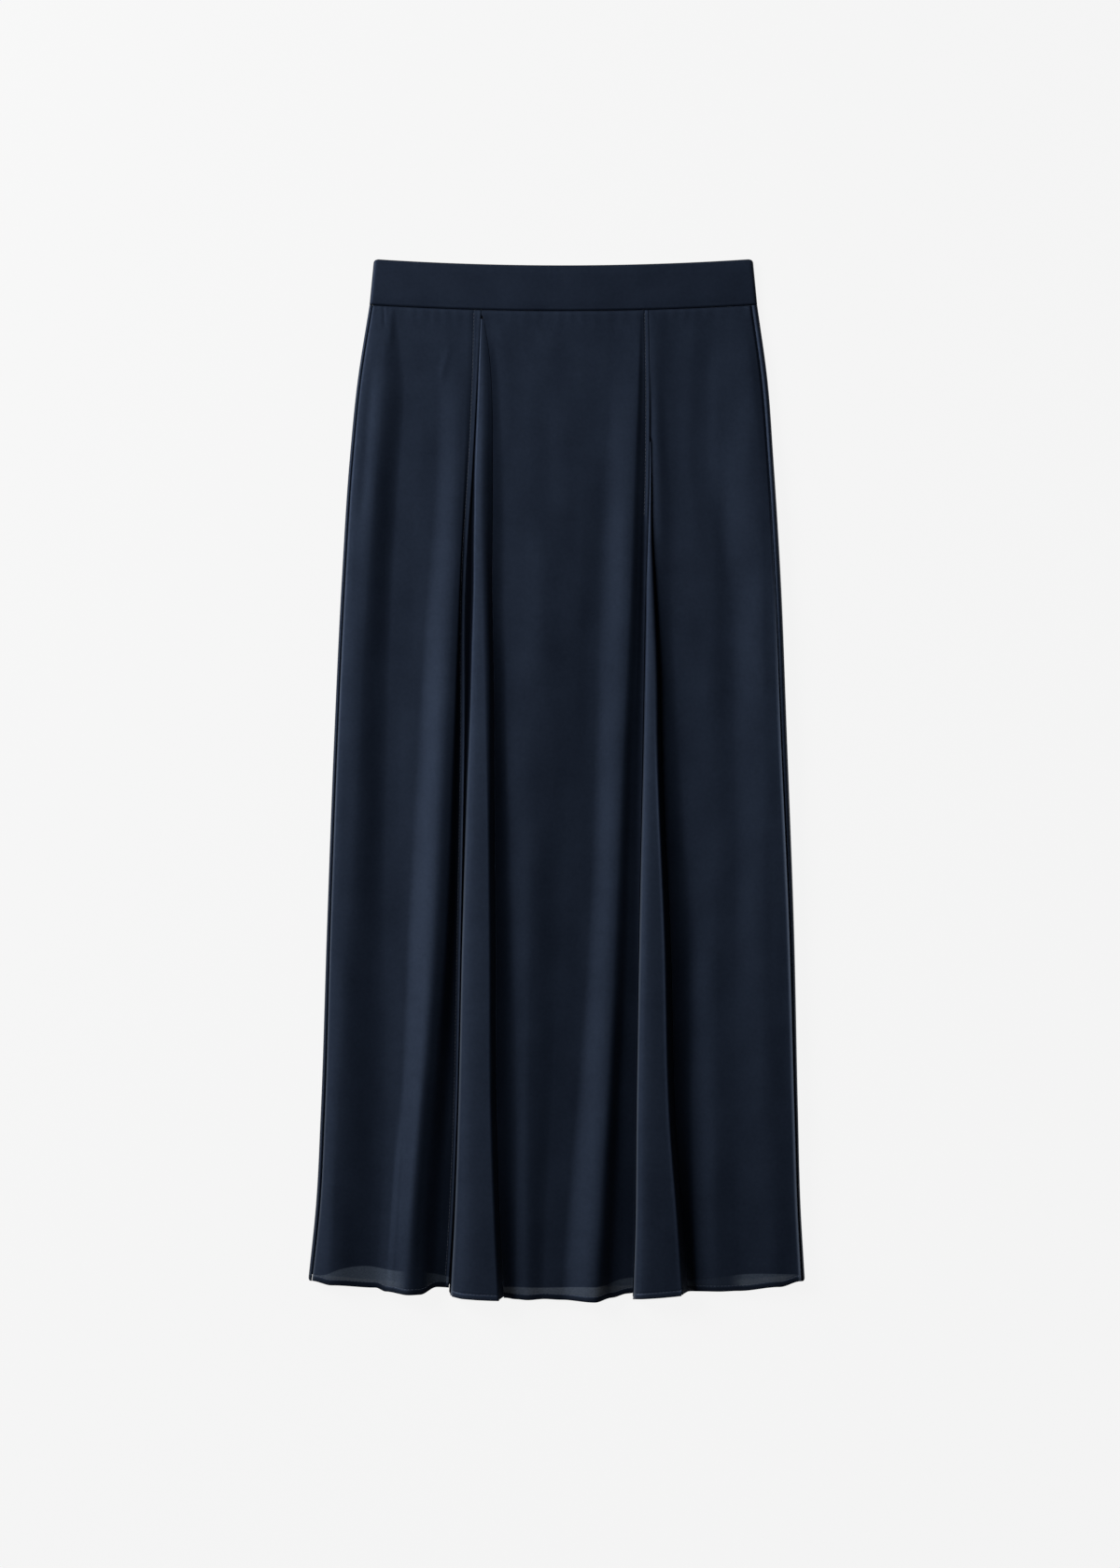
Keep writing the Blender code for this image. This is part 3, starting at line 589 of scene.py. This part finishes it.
def rounded_section(corners, radii):
    """Points along lines through the corners, each inner corner rounded to its radius.
    Each corner is (x, z), arrays over the rows. The marks count sides along the section."""
    xs, zs, marks = [], [], []
    last = len(corners) - 2
    for k in range(last + 1):
        (xa, za), (xb, zb) = corners[k], corners[k + 1]
        length = np.hypot(xb - xa, zb - za)
        most = length / CORNER_DIVISOR
        cut_a = np.minimum(radii[k - 1], most) / length if k else 0 * length
        cut_b = np.minimum(radii[k], most) / length if k < last else 0 * length
        count = FACE_POINTS if length.mean() > LONG_SIDE else FINE_POINTS
        for t in np.linspace(0, 1, count):
            s = mix(cut_a, 1 - cut_b, t)
            xs.append(mix(xa, xb, s))
            zs.append(mix(za, zb, s))
            marks.append(k + s.mean())
        if k < last:
            xc, zc = corners[k + 2]
            after = np.hypot(xc - xb, zc - zb)
            cut = np.minimum(radii[k], after / CORNER_DIVISOR) / after
            start, end = (xs[-1], zs[-1]), (mix(xb, xc, cut), mix(zb, zc, cut))
            for t in CORNER_SHARES:
                xs.append((1 - t) ** 2 * start[0] + 2 * t * (1 - t) * xb + t * t * end[0])
                zs.append((1 - t) ** 2 * start[1] + 2 * t * (1 - t) * zb + t * t * end[1])
                marks.append(k + 1)
    return np.stack(xs, axis=1), np.stack(zs, axis=1), np.array(marks)


def bowed(t, bow):
    """How much higher than a straight one a pleat's face stands at t, for a lean of 1."""
    bow = np.clip(bow, *BOW_LIMITS)
    return BOW_SHARE * ((1 - np.exp(-t / bow)) / (1 - np.exp(-1 / bow)) - t)


def pleat_surface(pleat, right_edge):
    """A godet: up from the panel at its left, over its ironed face, and down at its right
    to the edge of the next panel."""
    drops = drops_from(pleat.opens)
    gap, face, spread, rise, lean = pleat_sizes(pleat, drops)
    left = track(pleat.seam, drops) + gap
    right = left + face
    foot = np.full_like(drops, PLEAT_FOOT)
    under_edge = foot + np.minimum(TUCK_MOST, TUCK_SHARE * gap)
    top = STACK + rise
    right_foot = STACK + FOOT_LIFT + np.minimum(track(right_edge.rise, drops), FOOT_SHARE * rise)
    wall = left - np.minimum(WALL_MOST, WALL_SHARE * gap)
    corners = [(left - gap + GAP, under_edge), (wall, foot), (left, top - lean), (right, top),
               (right + spread, right_foot)]
    soft = mix(SOFT_RADIUS, PRESSED_RADIUS, ramp(drops, *SOFT_TO_PRESSED_DROPS))
    x, z, marks = rounded_section(corners, (PRESSED_RADIUS, PRESSED_RADIUS, soft))
    from_edge, wide = x - left[:, None], face[:, None]
    on_face = (marks >= FACE_START) & (marks <= FACE_END)
    z = z + on_face * lean[:, None] * bowed(np.clip(from_edge / wide, 0, 1), pleat.bow / wide)
    surface = Surface(x, z, np.interp(marks, HEM_PLACES, pleat.hem), drops)
    from_ridge = right[:, None] - RIDGE_INSET - x
    ridge = pleat.ridge * ramp(wide, *RIDGE_FACE) * bell(from_ridge, RIDGE_WIDTH)
    swells = PLEAT_SWELL * swell(x, surface.y) * ramp(
        surface.drops, pleat.opens + PLEAT_SWELL_START, pleat.opens + PLEAT_SWELL_END)
    roll = rolled_edge(from_edge) * ramp(wide, *PLEAT_ROLL_FACE)
    surface.z = surface.z + on_face * (swells + surface.hem_relief() + ridge + roll)
    # A painted highlight along the pleat face's left edge
    surface.pressed = pressed_edge(from_edge - PLEAT_HIGHLIGHT_INSET, surface.drops, *PLEAT_HIGHLIGHT)
    # Painted shade on the gap's floor and wall under the left panel's edge
    surface.inside = (marks < WALL_END) * np.ones_like(x)
    return surface


def turned_edge(edge, radius, height, side, steps):
    """x, z round a folded side, from the underside to the top; side is -1 or 1."""
    for k in range(steps + 1):
        angle = math.pi * k / steps
        yield edge - side * radius * (1 - math.sin(angle)), height * (1 - math.cos(angle)) / 2


def from_seam(count):
    """Shares of the way from the centre back seam to a side, closer together at the seam."""
    return np.concatenate([NEAR_SEAM, np.linspace(0, 1, count + 1)[1:-1]])


def back_surface(outline, side_line, side):
    """Half the back, flat under the skirt, then round its side to the front's seam."""
    drops = drops_from(0)
    radius = STACK / 2
    height = STACK + track(side_line.rise, drops)
    edge = track(outline, drops)
    inner = edge - side * radius
    level = np.zeros_like(drops)
    section = [(mix(side * GAP / 2, inner, t), level) for t in from_seam(BACK_COLUMNS)]
    section += list(turned_edge(edge, radius, height, side, BACK_SIDE_STEPS))
    seam_x = track(side_line.across, drops) + side * GAP
    strip_start = section[-1][0]
    section += [(mix(strip_start, seam_x, t), height) for t in STRIP_SHARES]
    x, z = (np.stack(values, axis=1) for values in zip(*section))
    if side > 0:
        x, z = x[:, ::-1], z[:, ::-1]
    turned = z / height[:, None]
    hem = mix(back_hem(x), side_line.hem, turned)
    surface = Surface(x, z, hem, drops)
    dip = seam_edge(np.abs(surface.x - seam_x[:, None])) * ramp(turned, *ON_TOP)
    drawn_in = (BACK_SEAM * bell(surface.x, BACK_SEAM_WIDTH)
                + BACK_WAIST * bell(surface.below_seam, WAIST_GROOVE_WIDTH)
                + BACK_HEM_GROOVE * bell(surface.above_hem - ROLLED_HEM, HEM_EDGE_WIDTH))
    waver = BACK_WAVER * np.sin(surface.drops / BACK_WAVER_LENGTH)
    pucker = BACK_PUCKER * (1 + np.sin(x / BACK_PUCKER_LENGTH + waver))
    pucker = pucker * bell(surface.below_seam - BACK_PUCKER_DROP, BACK_PUCKER_REACH)
    low = np.minimum(creases_of("back", x, surface.drops) + pucker, BACK_MOST)
    surface.z = surface.z + dip + (1 - ramp(turned, *ON_UNDERSIDE)) * (low + drawn_in)
    return surface


def lining_surface(top, ripple):
    """One side of the lining, a flat panel with a low ripple of its own."""
    drops = drops_from(0)[::2]
    drops[-1] = LENGTH
    left = track(OUTLINE_LEFT, drops) + LINING_INSET
    right = track(OUTLINE_RIGHT, drops) - LINING_INSET
    x = mix(left[:, None], right[:, None], np.linspace(0, 1, LINING_COLUMNS))
    hem = curve(*zip(*LINING_HEM), x)
    z = top + ripple * (np.sin(x / LINING_WAVE + drops[:, None] / LINING_TURN) - 1)
    return Surface(x, z, hem, drops)


def band_points():
    """The waistband: one interfaced strip round both sides, a little full between its edges."""
    depths = np.concatenate([np.linspace(*rows) for rows in BAND_ROWS])
    inset = BAND_HEIGHT * depths
    round_in = BAND_CORNER - np.sqrt(np.maximum(BAND_CORNER**2 - (BAND_CORNER - inset) ** 2, 0))
    corner = np.where(inset < BAND_CORNER, round_in, 0)
    radius = BAND_STACK / 2
    left = track(OUTLINE_LEFT, 0) + BAND_TAPER * (1 - depths) + corner
    right = track(OUTLINE_RIGHT, 0) - BAND_TAPER * (1 - depths) - corner
    level = np.zeros_like(depths)
    inner_left, inner_right = left + radius, right - radius
    left_side, right_side = (list(turned_edge(edge, radius, BAND_STACK, side, BAND_SIDE_STEPS))
                             for edge, side in ((left, -1), (right, 1)))
    section = [(mix(level - GAP / 2, inner_left, t), level) for t in from_seam(BAND_UNDER)]
    section += [(x, level + z) for x, z in left_side]
    section += [(mix(inner_left, inner_right, t), level + BAND_STACK)
                for t in np.linspace(0, 1, BAND_OVER)[1:-1]]
    section += [(x, level + z) for x, z in right_side[::-1]]
    section += [(mix(level + GAP / 2, inner_right, t), level) for t in from_seam(BAND_UNDER)[::-1]]
    x, z = (np.stack(values, axis=1) for values in zip(*section))
    share = depths[:, None]
    y = WAIST_Y - mix(top_drop(x), seam_drop(x) - GAP / 2, share)
    from_edge = BAND_HEIGHT * np.minimum(share, 1 - share)
    on_top = ramp(z, BAND_STACK - 1, BAND_STACK)
    full = (BAND_FULLNESS * ramp(from_edge, 0, BAND_FULL_AT)
            - BAND_EDGE * bell(from_edge, BAND_EDGE_WIDTH))
    waver = sum(height * np.sin(x / wave + turn * share) for height, wave, turn in BAND_WAVES)
    z = z + on_top * (full + waver * ramp(from_edge, 0, BAND_WAVES_AT))
    return np.stack([x, y, z], axis=-1) * MM


# -------------------------------- meshes
def mesh_object(name, points, faces, material):
    mesh = bpy.data.meshes.new(name)
    mesh.from_pydata(points, [], faces)
    mesh.shade_smooth()
    mesh.materials.append(material)
    piece = bpy.data.objects.new(name, mesh)
    bpy.context.scene.collection.objects.link(piece)
    return piece


def grid_object(name, points, material, fields):
    """A mesh through rows of points, facing the side from which they run down and right."""
    rows, columns = points.shape[:2]
    index = np.arange(rows * columns).reshape(rows, columns)
    quads = np.stack([index[:-1, :-1], index[1:, :-1], index[1:, 1:], index[:-1, 1:]], axis=-1)
    piece = mesh_object(name, points.reshape(-1, 3).tolist(), quads.reshape(-1, 4).tolist(),
                        material)
    for field, values in fields.items():
        layer = piece.data.attributes.new(field, "FLOAT", "POINT")
        layer.data.foreach_set("value", np.ascontiguousarray(values, np.float32).ravel())
    return piece


def stitch_row(name, path, length, pause, radius, material):
    """A row of separate stitches along a path of points, each a short rounded thread."""
    path = np.asarray(path, float)
    steps = np.linalg.norm(np.diff(path, axis=0), axis=1)
    along = np.concatenate([[0], np.cumsum(steps)])
    starts = np.arange(0.5 * pause, along[-1] - length, length + pause)
    points, faces = [], []
    for start in starts:
        base = len(points)
        a, b = (np.array([np.interp(s, along, path[:, c]) for c in range(3)])
                for s in (start, start + length))
        forward = (b - a) / np.linalg.norm(b - a)
        side = np.cross(forward, (0, 0, 1))
        side /= np.linalg.norm(side)
        up = np.cross(side, forward)
        for t, share in STITCH_RINGS:
            centre = mix(a, b, t) + up * radius * STITCH_ARCH * math.sin(math.pi * t)
            for n in range(STITCH_SIDES):
                angle = 2 * math.pi * n / STITCH_SIDES
                turn = side * math.cos(angle) + STITCH_FLATNESS * up * math.sin(angle)
                points.append(centre + radius * share * turn)
        last = base + (len(STITCH_RINGS) - 1) * STITCH_SIDES
        for low in range(base, last, STITCH_SIDES):
            high = low + STITCH_SIDES
            for n in range(STITCH_SIDES):
                m = (n + 1) % STITCH_SIDES
                faces.append([low + n, low + m, high + m, high + n])
        faces.append(list(range(base, base + STITCH_SIDES))[::-1])
        faces.append(list(range(last, last + STITCH_SIDES)))
    piece = mesh_object(name, [tuple(p * MM) for p in points], faces, material)
    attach(piece, "root")
    return piece


def path_beside_right(surface, inset, last):
    """Points on a panel beside its right edge, at an inset that is a table over the drops."""
    path, drops = [], surface.drops[:, 0]
    for r in np.flatnonzero((drops >= TOPSTITCH_START) & (drops <= last)):
        order = np.argsort(surface.from_right[r])
        place = np.interp(drops[r], *inset)
        distance = surface.from_right[r][order]
        path.append(surface.along((r, order), place, distance, STITCH_CLEAR))
    return path


def path_above_hem(surface, columns):
    """Points on a surface along the rolled hem's top, in a slice of its columns."""
    up = slice(None, None, -1)
    return [surface.along((up, c), ROLLED_HEM, surface.above_hem[up, c], HEM_STITCH_CLEAR)
            for c in range(surface.x.shape[1])[columns]]


# -------------------------------- materials
def new_material(name):
    material = bpy.data.materials.new(name)
    material.use_nodes = True
    return material, material.node_tree.nodes["Principled BSDF"]


def put(value, socket):
    """Link another node's output to an input, or set a plain value there."""
    if isinstance(value, bpy.types.NodeSocket):
        socket.id_data.links.new(value, socket)
    else:
        socket.default_value = value


def fill(node, **inputs):
    """Link or set a node's inputs by their names, with _ for a space."""
    for name, value in inputs.items():
        put(value, node.inputs[name.replace("_", " ")])
    return node


def fill_from(first, node, *values):
    """Link or set a node's inputs in their order, from the first on."""
    for socket, value in zip(node.inputs[first:], values):
        put(value, socket)


class Graph:
    """A few words for building a material's nodes."""

    def __init__(self, material):
        self.nodes = material.node_tree.nodes
        self.position = self.nodes.new("ShaderNodeTexCoord").outputs["Object"]

    def add(self, kind, **inputs):
        return fill(self.nodes.new("ShaderNode" + kind), **inputs)

    def math(self, operation, a, b):
        node = self.add("Math")
        node.operation = operation
        fill_from(0, node, a, b)
        return node.outputs[0]

    def weighted(self, a, a_share, b, b_share):
        shares = self.math("MULTIPLY", a, a_share), self.math("MULTIPLY", b, b_share)
        return self.math("ADD", *shares)

    def field(self, name):
        node = self.add("Attribute")
        node.attribute_name = name
        return node.outputs["Fac"]

    def noise(self, scale, detail=2.0, stretch=(1, 1, 1)):
        place = self.add("Mapping", Vector=self.position, Scale=stretch).outputs[0]
        return self.add("TexNoise", Vector=place, Scale=scale, Detail=detail).outputs["Fac"]

    def wave(self, axis, scale, distortion):
        node = self.add("TexWave", Vector=self.position, Scale=scale, Distortion=distortion,
                        Detail_Scale=3.0)
        node.bands_direction = axis
        return node.outputs["Fac"]

    def smooth(self, value, low, high):
        node = self.add("MapRange", Value=value, From_Min=low, From_Max=high)
        node.interpolation_type = "SMOOTHSTEP"
        return node.outputs["Result"]

    def blend(self, share, a, b, kind="MIX"):
        node = self.add("Mix")
        node.data_type, node.blend_type = "RGBA", kind
        fill_from(0, node, share)
        fill_from(6, node, a, b)
        return node.outputs[2]

    def bump(self, height, strength, distance, **normal):
        node = self.add("Bump", Height=height, Strength=strength, Distance=distance, **normal)
        return node.outputs["Normal"]


CREPE, CREPE_LIGHT = (0.0026, 0.0042, 0.0086, 1), (0.0037, 0.0058, 0.0112, 1)
# The painted light's tone where the single layer at the hem shows through
LIT_THROUGH_TONE = (0.034, 0.043, 0.058, 1)
# The painted highlight's tone on pressed edges
EDGE_HIGHLIGHT_TONE = (0.052, 0.064, 0.086, 1)
# The painted shade's tone in deep folds, seams and the rolled hem
SHADE_TONE = (0.0012, 0.0018, 0.0036, 1)
CREPE_GLOSS = (0.435, 0.61, 1.0, 1)
LINING, LINING_LIGHT = (0.006, 0.009, 0.017, 1), (0.009, 0.013, 0.024, 1)
THREAD, THREAD_LIGHT = (0.022, 0.029, 0.045, 1), (0.040, 0.050, 0.072, 1)
TAPE, TAPE_LIGHT = (0.006, 0.009, 0.016, 1), (0.012, 0.016, 0.026, 1)

# Scales of the crepe's waves and noises, in rounds or cells a metre
WARP, WEFT, PEBBLE, SPECKLE, SLUB, GRAIN, PATCHES, MOTTLE, CLOUD = (
    1150, 980, 1700, 760, 420, 330, 62, 34, 9)
# How strongly weave and slub mark the colour, and patches and grain the sheen
WEAVE_MARK, SLUB_MARK, COLOUR_FLOOR = 0.10, 0.16, 0.87
PATCH_MARK, GRAIN_MARK, SHEEN_FLOOR = 0.30, 0.42, 0.64
# How speckled the painted light through the single layer at the hem is, how open that layer is, and
# how much painted shade dulls the sheen
LIT_THROUGH_SPECKLE, SHEER_OPEN, SHADE_DULL = 0.3, 0.12, 0.93
ROUGHNESS_SPREAD = 0.10


def crepe_material(name, roughness, with_hem, specular):
    """Satin-faced crepe: a fine pebbled weave, softly mottled, see-through where it is single,
    with painted light showing through there, painted highlights on ironed edges and painted
    shade in deep folds, seams and the rolled hem.
    """
    material, shader = new_material(name)
    g = Graph(material)
    weave = g.weighted(g.wave("X", WARP, 1.5), 0.5, g.wave("Y", WEFT, 1.5), 0.5)
    mottle = g.noise(MOTTLE, 3.0, stretch=(1, 0.55, 1))
    slub = g.noise(SLUB, 2.0, stretch=(1, 0.22, 1))
    tone = g.weighted(mottle, 0.55, g.noise(CLOUD, 1.0), 0.45)
    colour = g.blend(g.smooth(tone, 0.32, 0.68), CREPE, CREPE_LIGHT)
    level = g.math("ADD", g.weighted(weave, WEAVE_MARK, slub, SLUB_MARK), COLOUR_FLOOR)
    shade = g.add("CombineColor", Red=level, Green=level, Blue=level)
    colour = g.blend(1.0, colour, shade.outputs[0], "MULTIPLY")

    patches = g.noise(PATCHES, 2.0, stretch=(0.5, 1, 1))
    marks = g.weighted(patches, PATCH_MARK, g.noise(GRAIN, 2.0), GRAIN_MARK)
    sheen = g.math("MULTIPLY", g.math("ADD", marks, SHEEN_FLOOR), specular)
    if with_hem:
        # Painted highlight along pressed edges
        colour = g.blend(g.field("pressed"), colour, EDGE_HIGHLIGHT_TONE)
        # Painted shade in deep folds, seams and the rolled hem
        colour = g.blend(g.field("inside"), colour, SHADE_TONE)
        # Painted light through the single layer above the rolled hem, speckled like an open weave;
        # a little of it is also real transparency
        single = g.math("MULTIPLY", g.smooth(g.field("below_lining"), -0.5, 0.5), g.field("painted_hem_light"))
        above_roll = g.smooth(g.field("above_hem"), ROLLED_HEM - 0.3, ROLLED_HEM + 0.3)
        speckle = g.math("MULTIPLY", g.smooth(g.noise(SPECKLE, 2.0), 0.35, 0.65), LIT_THROUGH_SPECKLE)
        thin = g.math("MULTIPLY", g.math("MULTIPLY", single, above_roll),
                      g.math("ADD", speckle, 1 - LIT_THROUGH_SPECKLE))
        colour = g.blend(thin, colour, LIT_THROUGH_TONE)
        fill(shader, Alpha=g.math("SUBTRACT", 1.0, g.math("MULTIPLY", thin, SHEER_OPEN)))
        # Painted shade also dulls the sheen
        bright = g.math("SUBTRACT", 1.0, g.math("MULTIPLY", g.field("inside"), SHADE_DULL))
        sheen = g.math("MULTIPLY", sheen, bright)
    rough = g.math("ADD", g.math("MULTIPLY", mottle, ROUGHNESS_SPREAD),
                   roughness - ROUGHNESS_SPREAD / 2)
    fine = g.bump(g.math("ADD", weave, g.noise(PEBBLE, 3.0)), 0.25, 0.00012)
    fill(shader, Base_Color=colour, Roughness=rough, Specular_IOR_Level=sheen,
         Specular_Tint=CREPE_GLOSS, Normal=g.bump(mottle, 0.12, 0.0012, Normal=fine))
    return material


def lining_material():
    material, shader = new_material("lining_satin")
    g = Graph(material)
    weave = g.math("MULTIPLY", g.wave("X", 1500, 0.4), g.wave("Y", 700, 0.4))
    tone = g.smooth(g.noise(22, 2.0), 0.3, 0.7)
    fill(shader, Base_Color=g.blend(tone, LINING, LINING_LIGHT), Roughness=0.42,
         Specular_IOR_Level=0.3, Normal=g.bump(weave, 0.2, 0.0001))
    return material


def thread_material():
    material, shader = new_material("sewing_thread")
    g = Graph(material)
    twist = g.wave("DIAGONAL", 900, 0.5)
    fill(shader, Base_Color=g.blend(twist, THREAD, THREAD_LIGHT), Roughness=0.5,
         Specular_IOR_Level=0.35)
    return material


def zip_material():
    material, shader = new_material("zip_tape")
    g = Graph(material)
    ribs, teeth = g.wave("X", 700, 0.2), g.wave("Y", 420, 0.0)
    fill(shader, Base_Color=g.blend(ribs, TAPE, TAPE_LIGHT), Roughness=0.6,
         Normal=g.bump(g.math("ADD", ribs, teeth), 0.6, 0.0002))
    return material


def floor_material():
    """Nearly white by its own even glow, so that little of the cloth's shade shows on it."""
    material, shader = new_material("studio_floor")
    fill(shader, Base_Color=(0.025, 0.025, 0.025, 1), Roughness=0.9, Specular_IOR_Level=0.0,
         Emission_Color=(1, 1, 1, 1), Emission_Strength=0.89)
    return material


# -------------------------------- pieces
def add_shell(name, node, points, material, thickness=SHELL, fields=None):
    """A thin shell that takes a solid's place."""
    piece = grid_object(name, points, material, fields or {})
    wall = piece.modifiers.new("wall", "SOLIDIFY")
    wall.thickness = thickness * MM
    wall.offset = -1
    wall.use_even_offset = False
    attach(piece, "root")
    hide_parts(node)
    return piece


def add_cloth(name, node, surface, material, painted_hem_light=True):
    return add_shell(name, node, surface.points(), material, fields=surface.fields(painted_hem_light))


def build_skirt():
    crepe = crepe_material("satin_crepe", 0.56, True, 0.34)
    band_crepe = crepe_material("waistband_crepe", 0.60, False, 0.28)
    lining = lining_material()
    thread = thread_material()

    left, centre, right = (panel_surface(p) for p in (LEFT_PANEL, CENTRE_PANEL, RIGHT_PANEL))
    finish_left_panel(left)
    finish_centre_panel(centre)
    finish_right_panel(right)
    left_pleat = pleat_surface(LEFT_PLEAT, CENTRE_PANEL[0])
    right_pleat = pleat_surface(RIGHT_PLEAT, RIGHT_PANEL[0])

    under = lining_surface(2 * LAYER + CLOTH, FRONT_RIPPLE).points()
    lining_front = add_shell("front_lining_cloth", "lining_front", under, lining)
    under = lining_surface(LAYER + CLOTH, BACK_RIPPLE).points()
    lining_back = add_shell("back_lining_cloth", "lining_back", under, lining)
    half = back_surface(OUTLINE_LEFT, LEFT_PANEL[0], -1)
    back_left = add_cloth("back_left_cloth", "back_left", half, crepe)
    half = back_surface(OUTLINE_RIGHT, RIGHT_PANEL[-1], 1)
    back_right = add_cloth("back_right_cloth", "back_right", half, crepe)
    front_left = add_cloth("front_left_cloth", "front_side_left", left, crepe)
    front_centre = add_cloth("front_centre_cloth", "front_centre", centre, crepe)
    front_right = add_cloth("front_right_cloth", "front_side_right", right, crepe)
    godet_left = add_cloth("left_pleat_cloth", "pleat_left", left_pleat, crepe, painted_hem_light=False)
    godet_right = add_cloth("right_pleat_cloth", "pleat_right", right_pleat, crepe, painted_hem_light=False)
    waistband = add_shell("waistband_cloth", "waistband", band_points(),
                          band_crepe, BAND_SHELL)

    path = path_beside_right(left, LEFT_INSET, TOPSTITCH_END)
    top_left = stitch_row("left_pleat_topstitching", path, *TOPSTITCH, thread)
    path = path_beside_right(centre, RIGHT_INSET, RIGHT_STITCH_END)
    top_right = stitch_row("right_pleat_topstitching", path, *TOPSTITCH, thread)
    for name, surface, columns in (
        ("left", left, PANEL_INNER), ("centre", centre, PANEL_INNER), ("right", right, PANEL_INNER),
        ("left_pleat", left_pleat, PLEAT_INNER), ("right_pleat", right_pleat, PLEAT_INNER),
    ):
        path = path_above_hem(surface, columns)
        stitch_row(name + "_hem_stitching", path, *HEM_STITCH, thread)

    zip_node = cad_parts["zip"]
    zip_node.data.materials.clear()
    zip_node.data.materials.append(zip_material())


# -------------------------------- stage, light and camera
PHOTO_SIZE, PHOTO_MM_PER_PIXEL = (1200, 1680), 0.84
# Where the frame's origin is in the photo, in its pixels
PHOTO_MIDDLE = (596.35, 836.0)
CAMERA_HEIGHT, CAMERA_FOCUS_Z, SENSOR_HEIGHT = 5.0, 0.006, 36.0
FLOOR_SIZE, FLOOR_Z = 12, -0.0003
WORLD_LIGHT = 0.03
# The light's azimuth is counterclockwise from +X
KEY_POWER, KEY_SIZE, KEY_DISTANCE, KEY_AZIMUTH, KEY_ZENITH = 150, 1.4, 2.8, 148, 59


def add_floor():
    bpy.ops.mesh.primitive_plane_add(size=FLOOR_SIZE, location=(0, 0, FLOOR_Z))
    floor = bpy.context.object
    floor.name = "studio_floor"
    floor.data.materials.append(floor_material())


def add_light():
    """A dim, even world and a square soft light that faces the middle of the floor."""
    world = bpy.data.worlds.new("studio")
    bpy.context.scene.world = world
    world.use_nodes = True
    fill(world.node_tree.nodes["Background"], Color=(1, 1, 1, 1), Strength=WORLD_LIGHT)
    light = bpy.data.lights.new("key", "AREA")
    light.energy, light.size = KEY_POWER, KEY_SIZE
    lamp = bpy.data.objects.new("key", light)
    across, up = math.radians(KEY_AZIMUTH), math.radians(KEY_ZENITH)
    lamp.location = (KEY_DISTANCE * math.sin(up) * math.cos(across),
                     KEY_DISTANCE * math.sin(up) * math.sin(across), KEY_DISTANCE * math.cos(up))
    lamp.rotation_euler = (0, up, across)
    bpy.context.scene.collection.objects.link(lamp)


def add_camera():
    camera = bpy.data.cameras.new("camera")
    camera.sensor_fit = "VERTICAL"
    camera.sensor_height = SENSOR_HEIGHT
    view_height = PHOTO_SIZE[1] * PHOTO_MM_PER_PIXEL * MM
    camera.lens = SENSOR_HEIGHT * (CAMERA_HEIGHT - CAMERA_FOCUS_Z) / view_height
    camera.clip_end = 50
    holder = bpy.data.objects.new("camera", camera)
    x = (PHOTO_SIZE[0] / 2 - PHOTO_MIDDLE[0]) * PHOTO_MM_PER_PIXEL * MM
    y = (PHOTO_MIDDLE[1] - PHOTO_SIZE[1] / 2) * PHOTO_MM_PER_PIXEL * MM
    holder.location = (x, y, CAMERA_HEIGHT)
    bpy.context.scene.collection.objects.link(holder)
    bpy.context.scene.camera = holder


add_camera()
build_skirt()
add_floor()
add_light()
bpy.context.scene.view_settings.view_transform = "Standard"
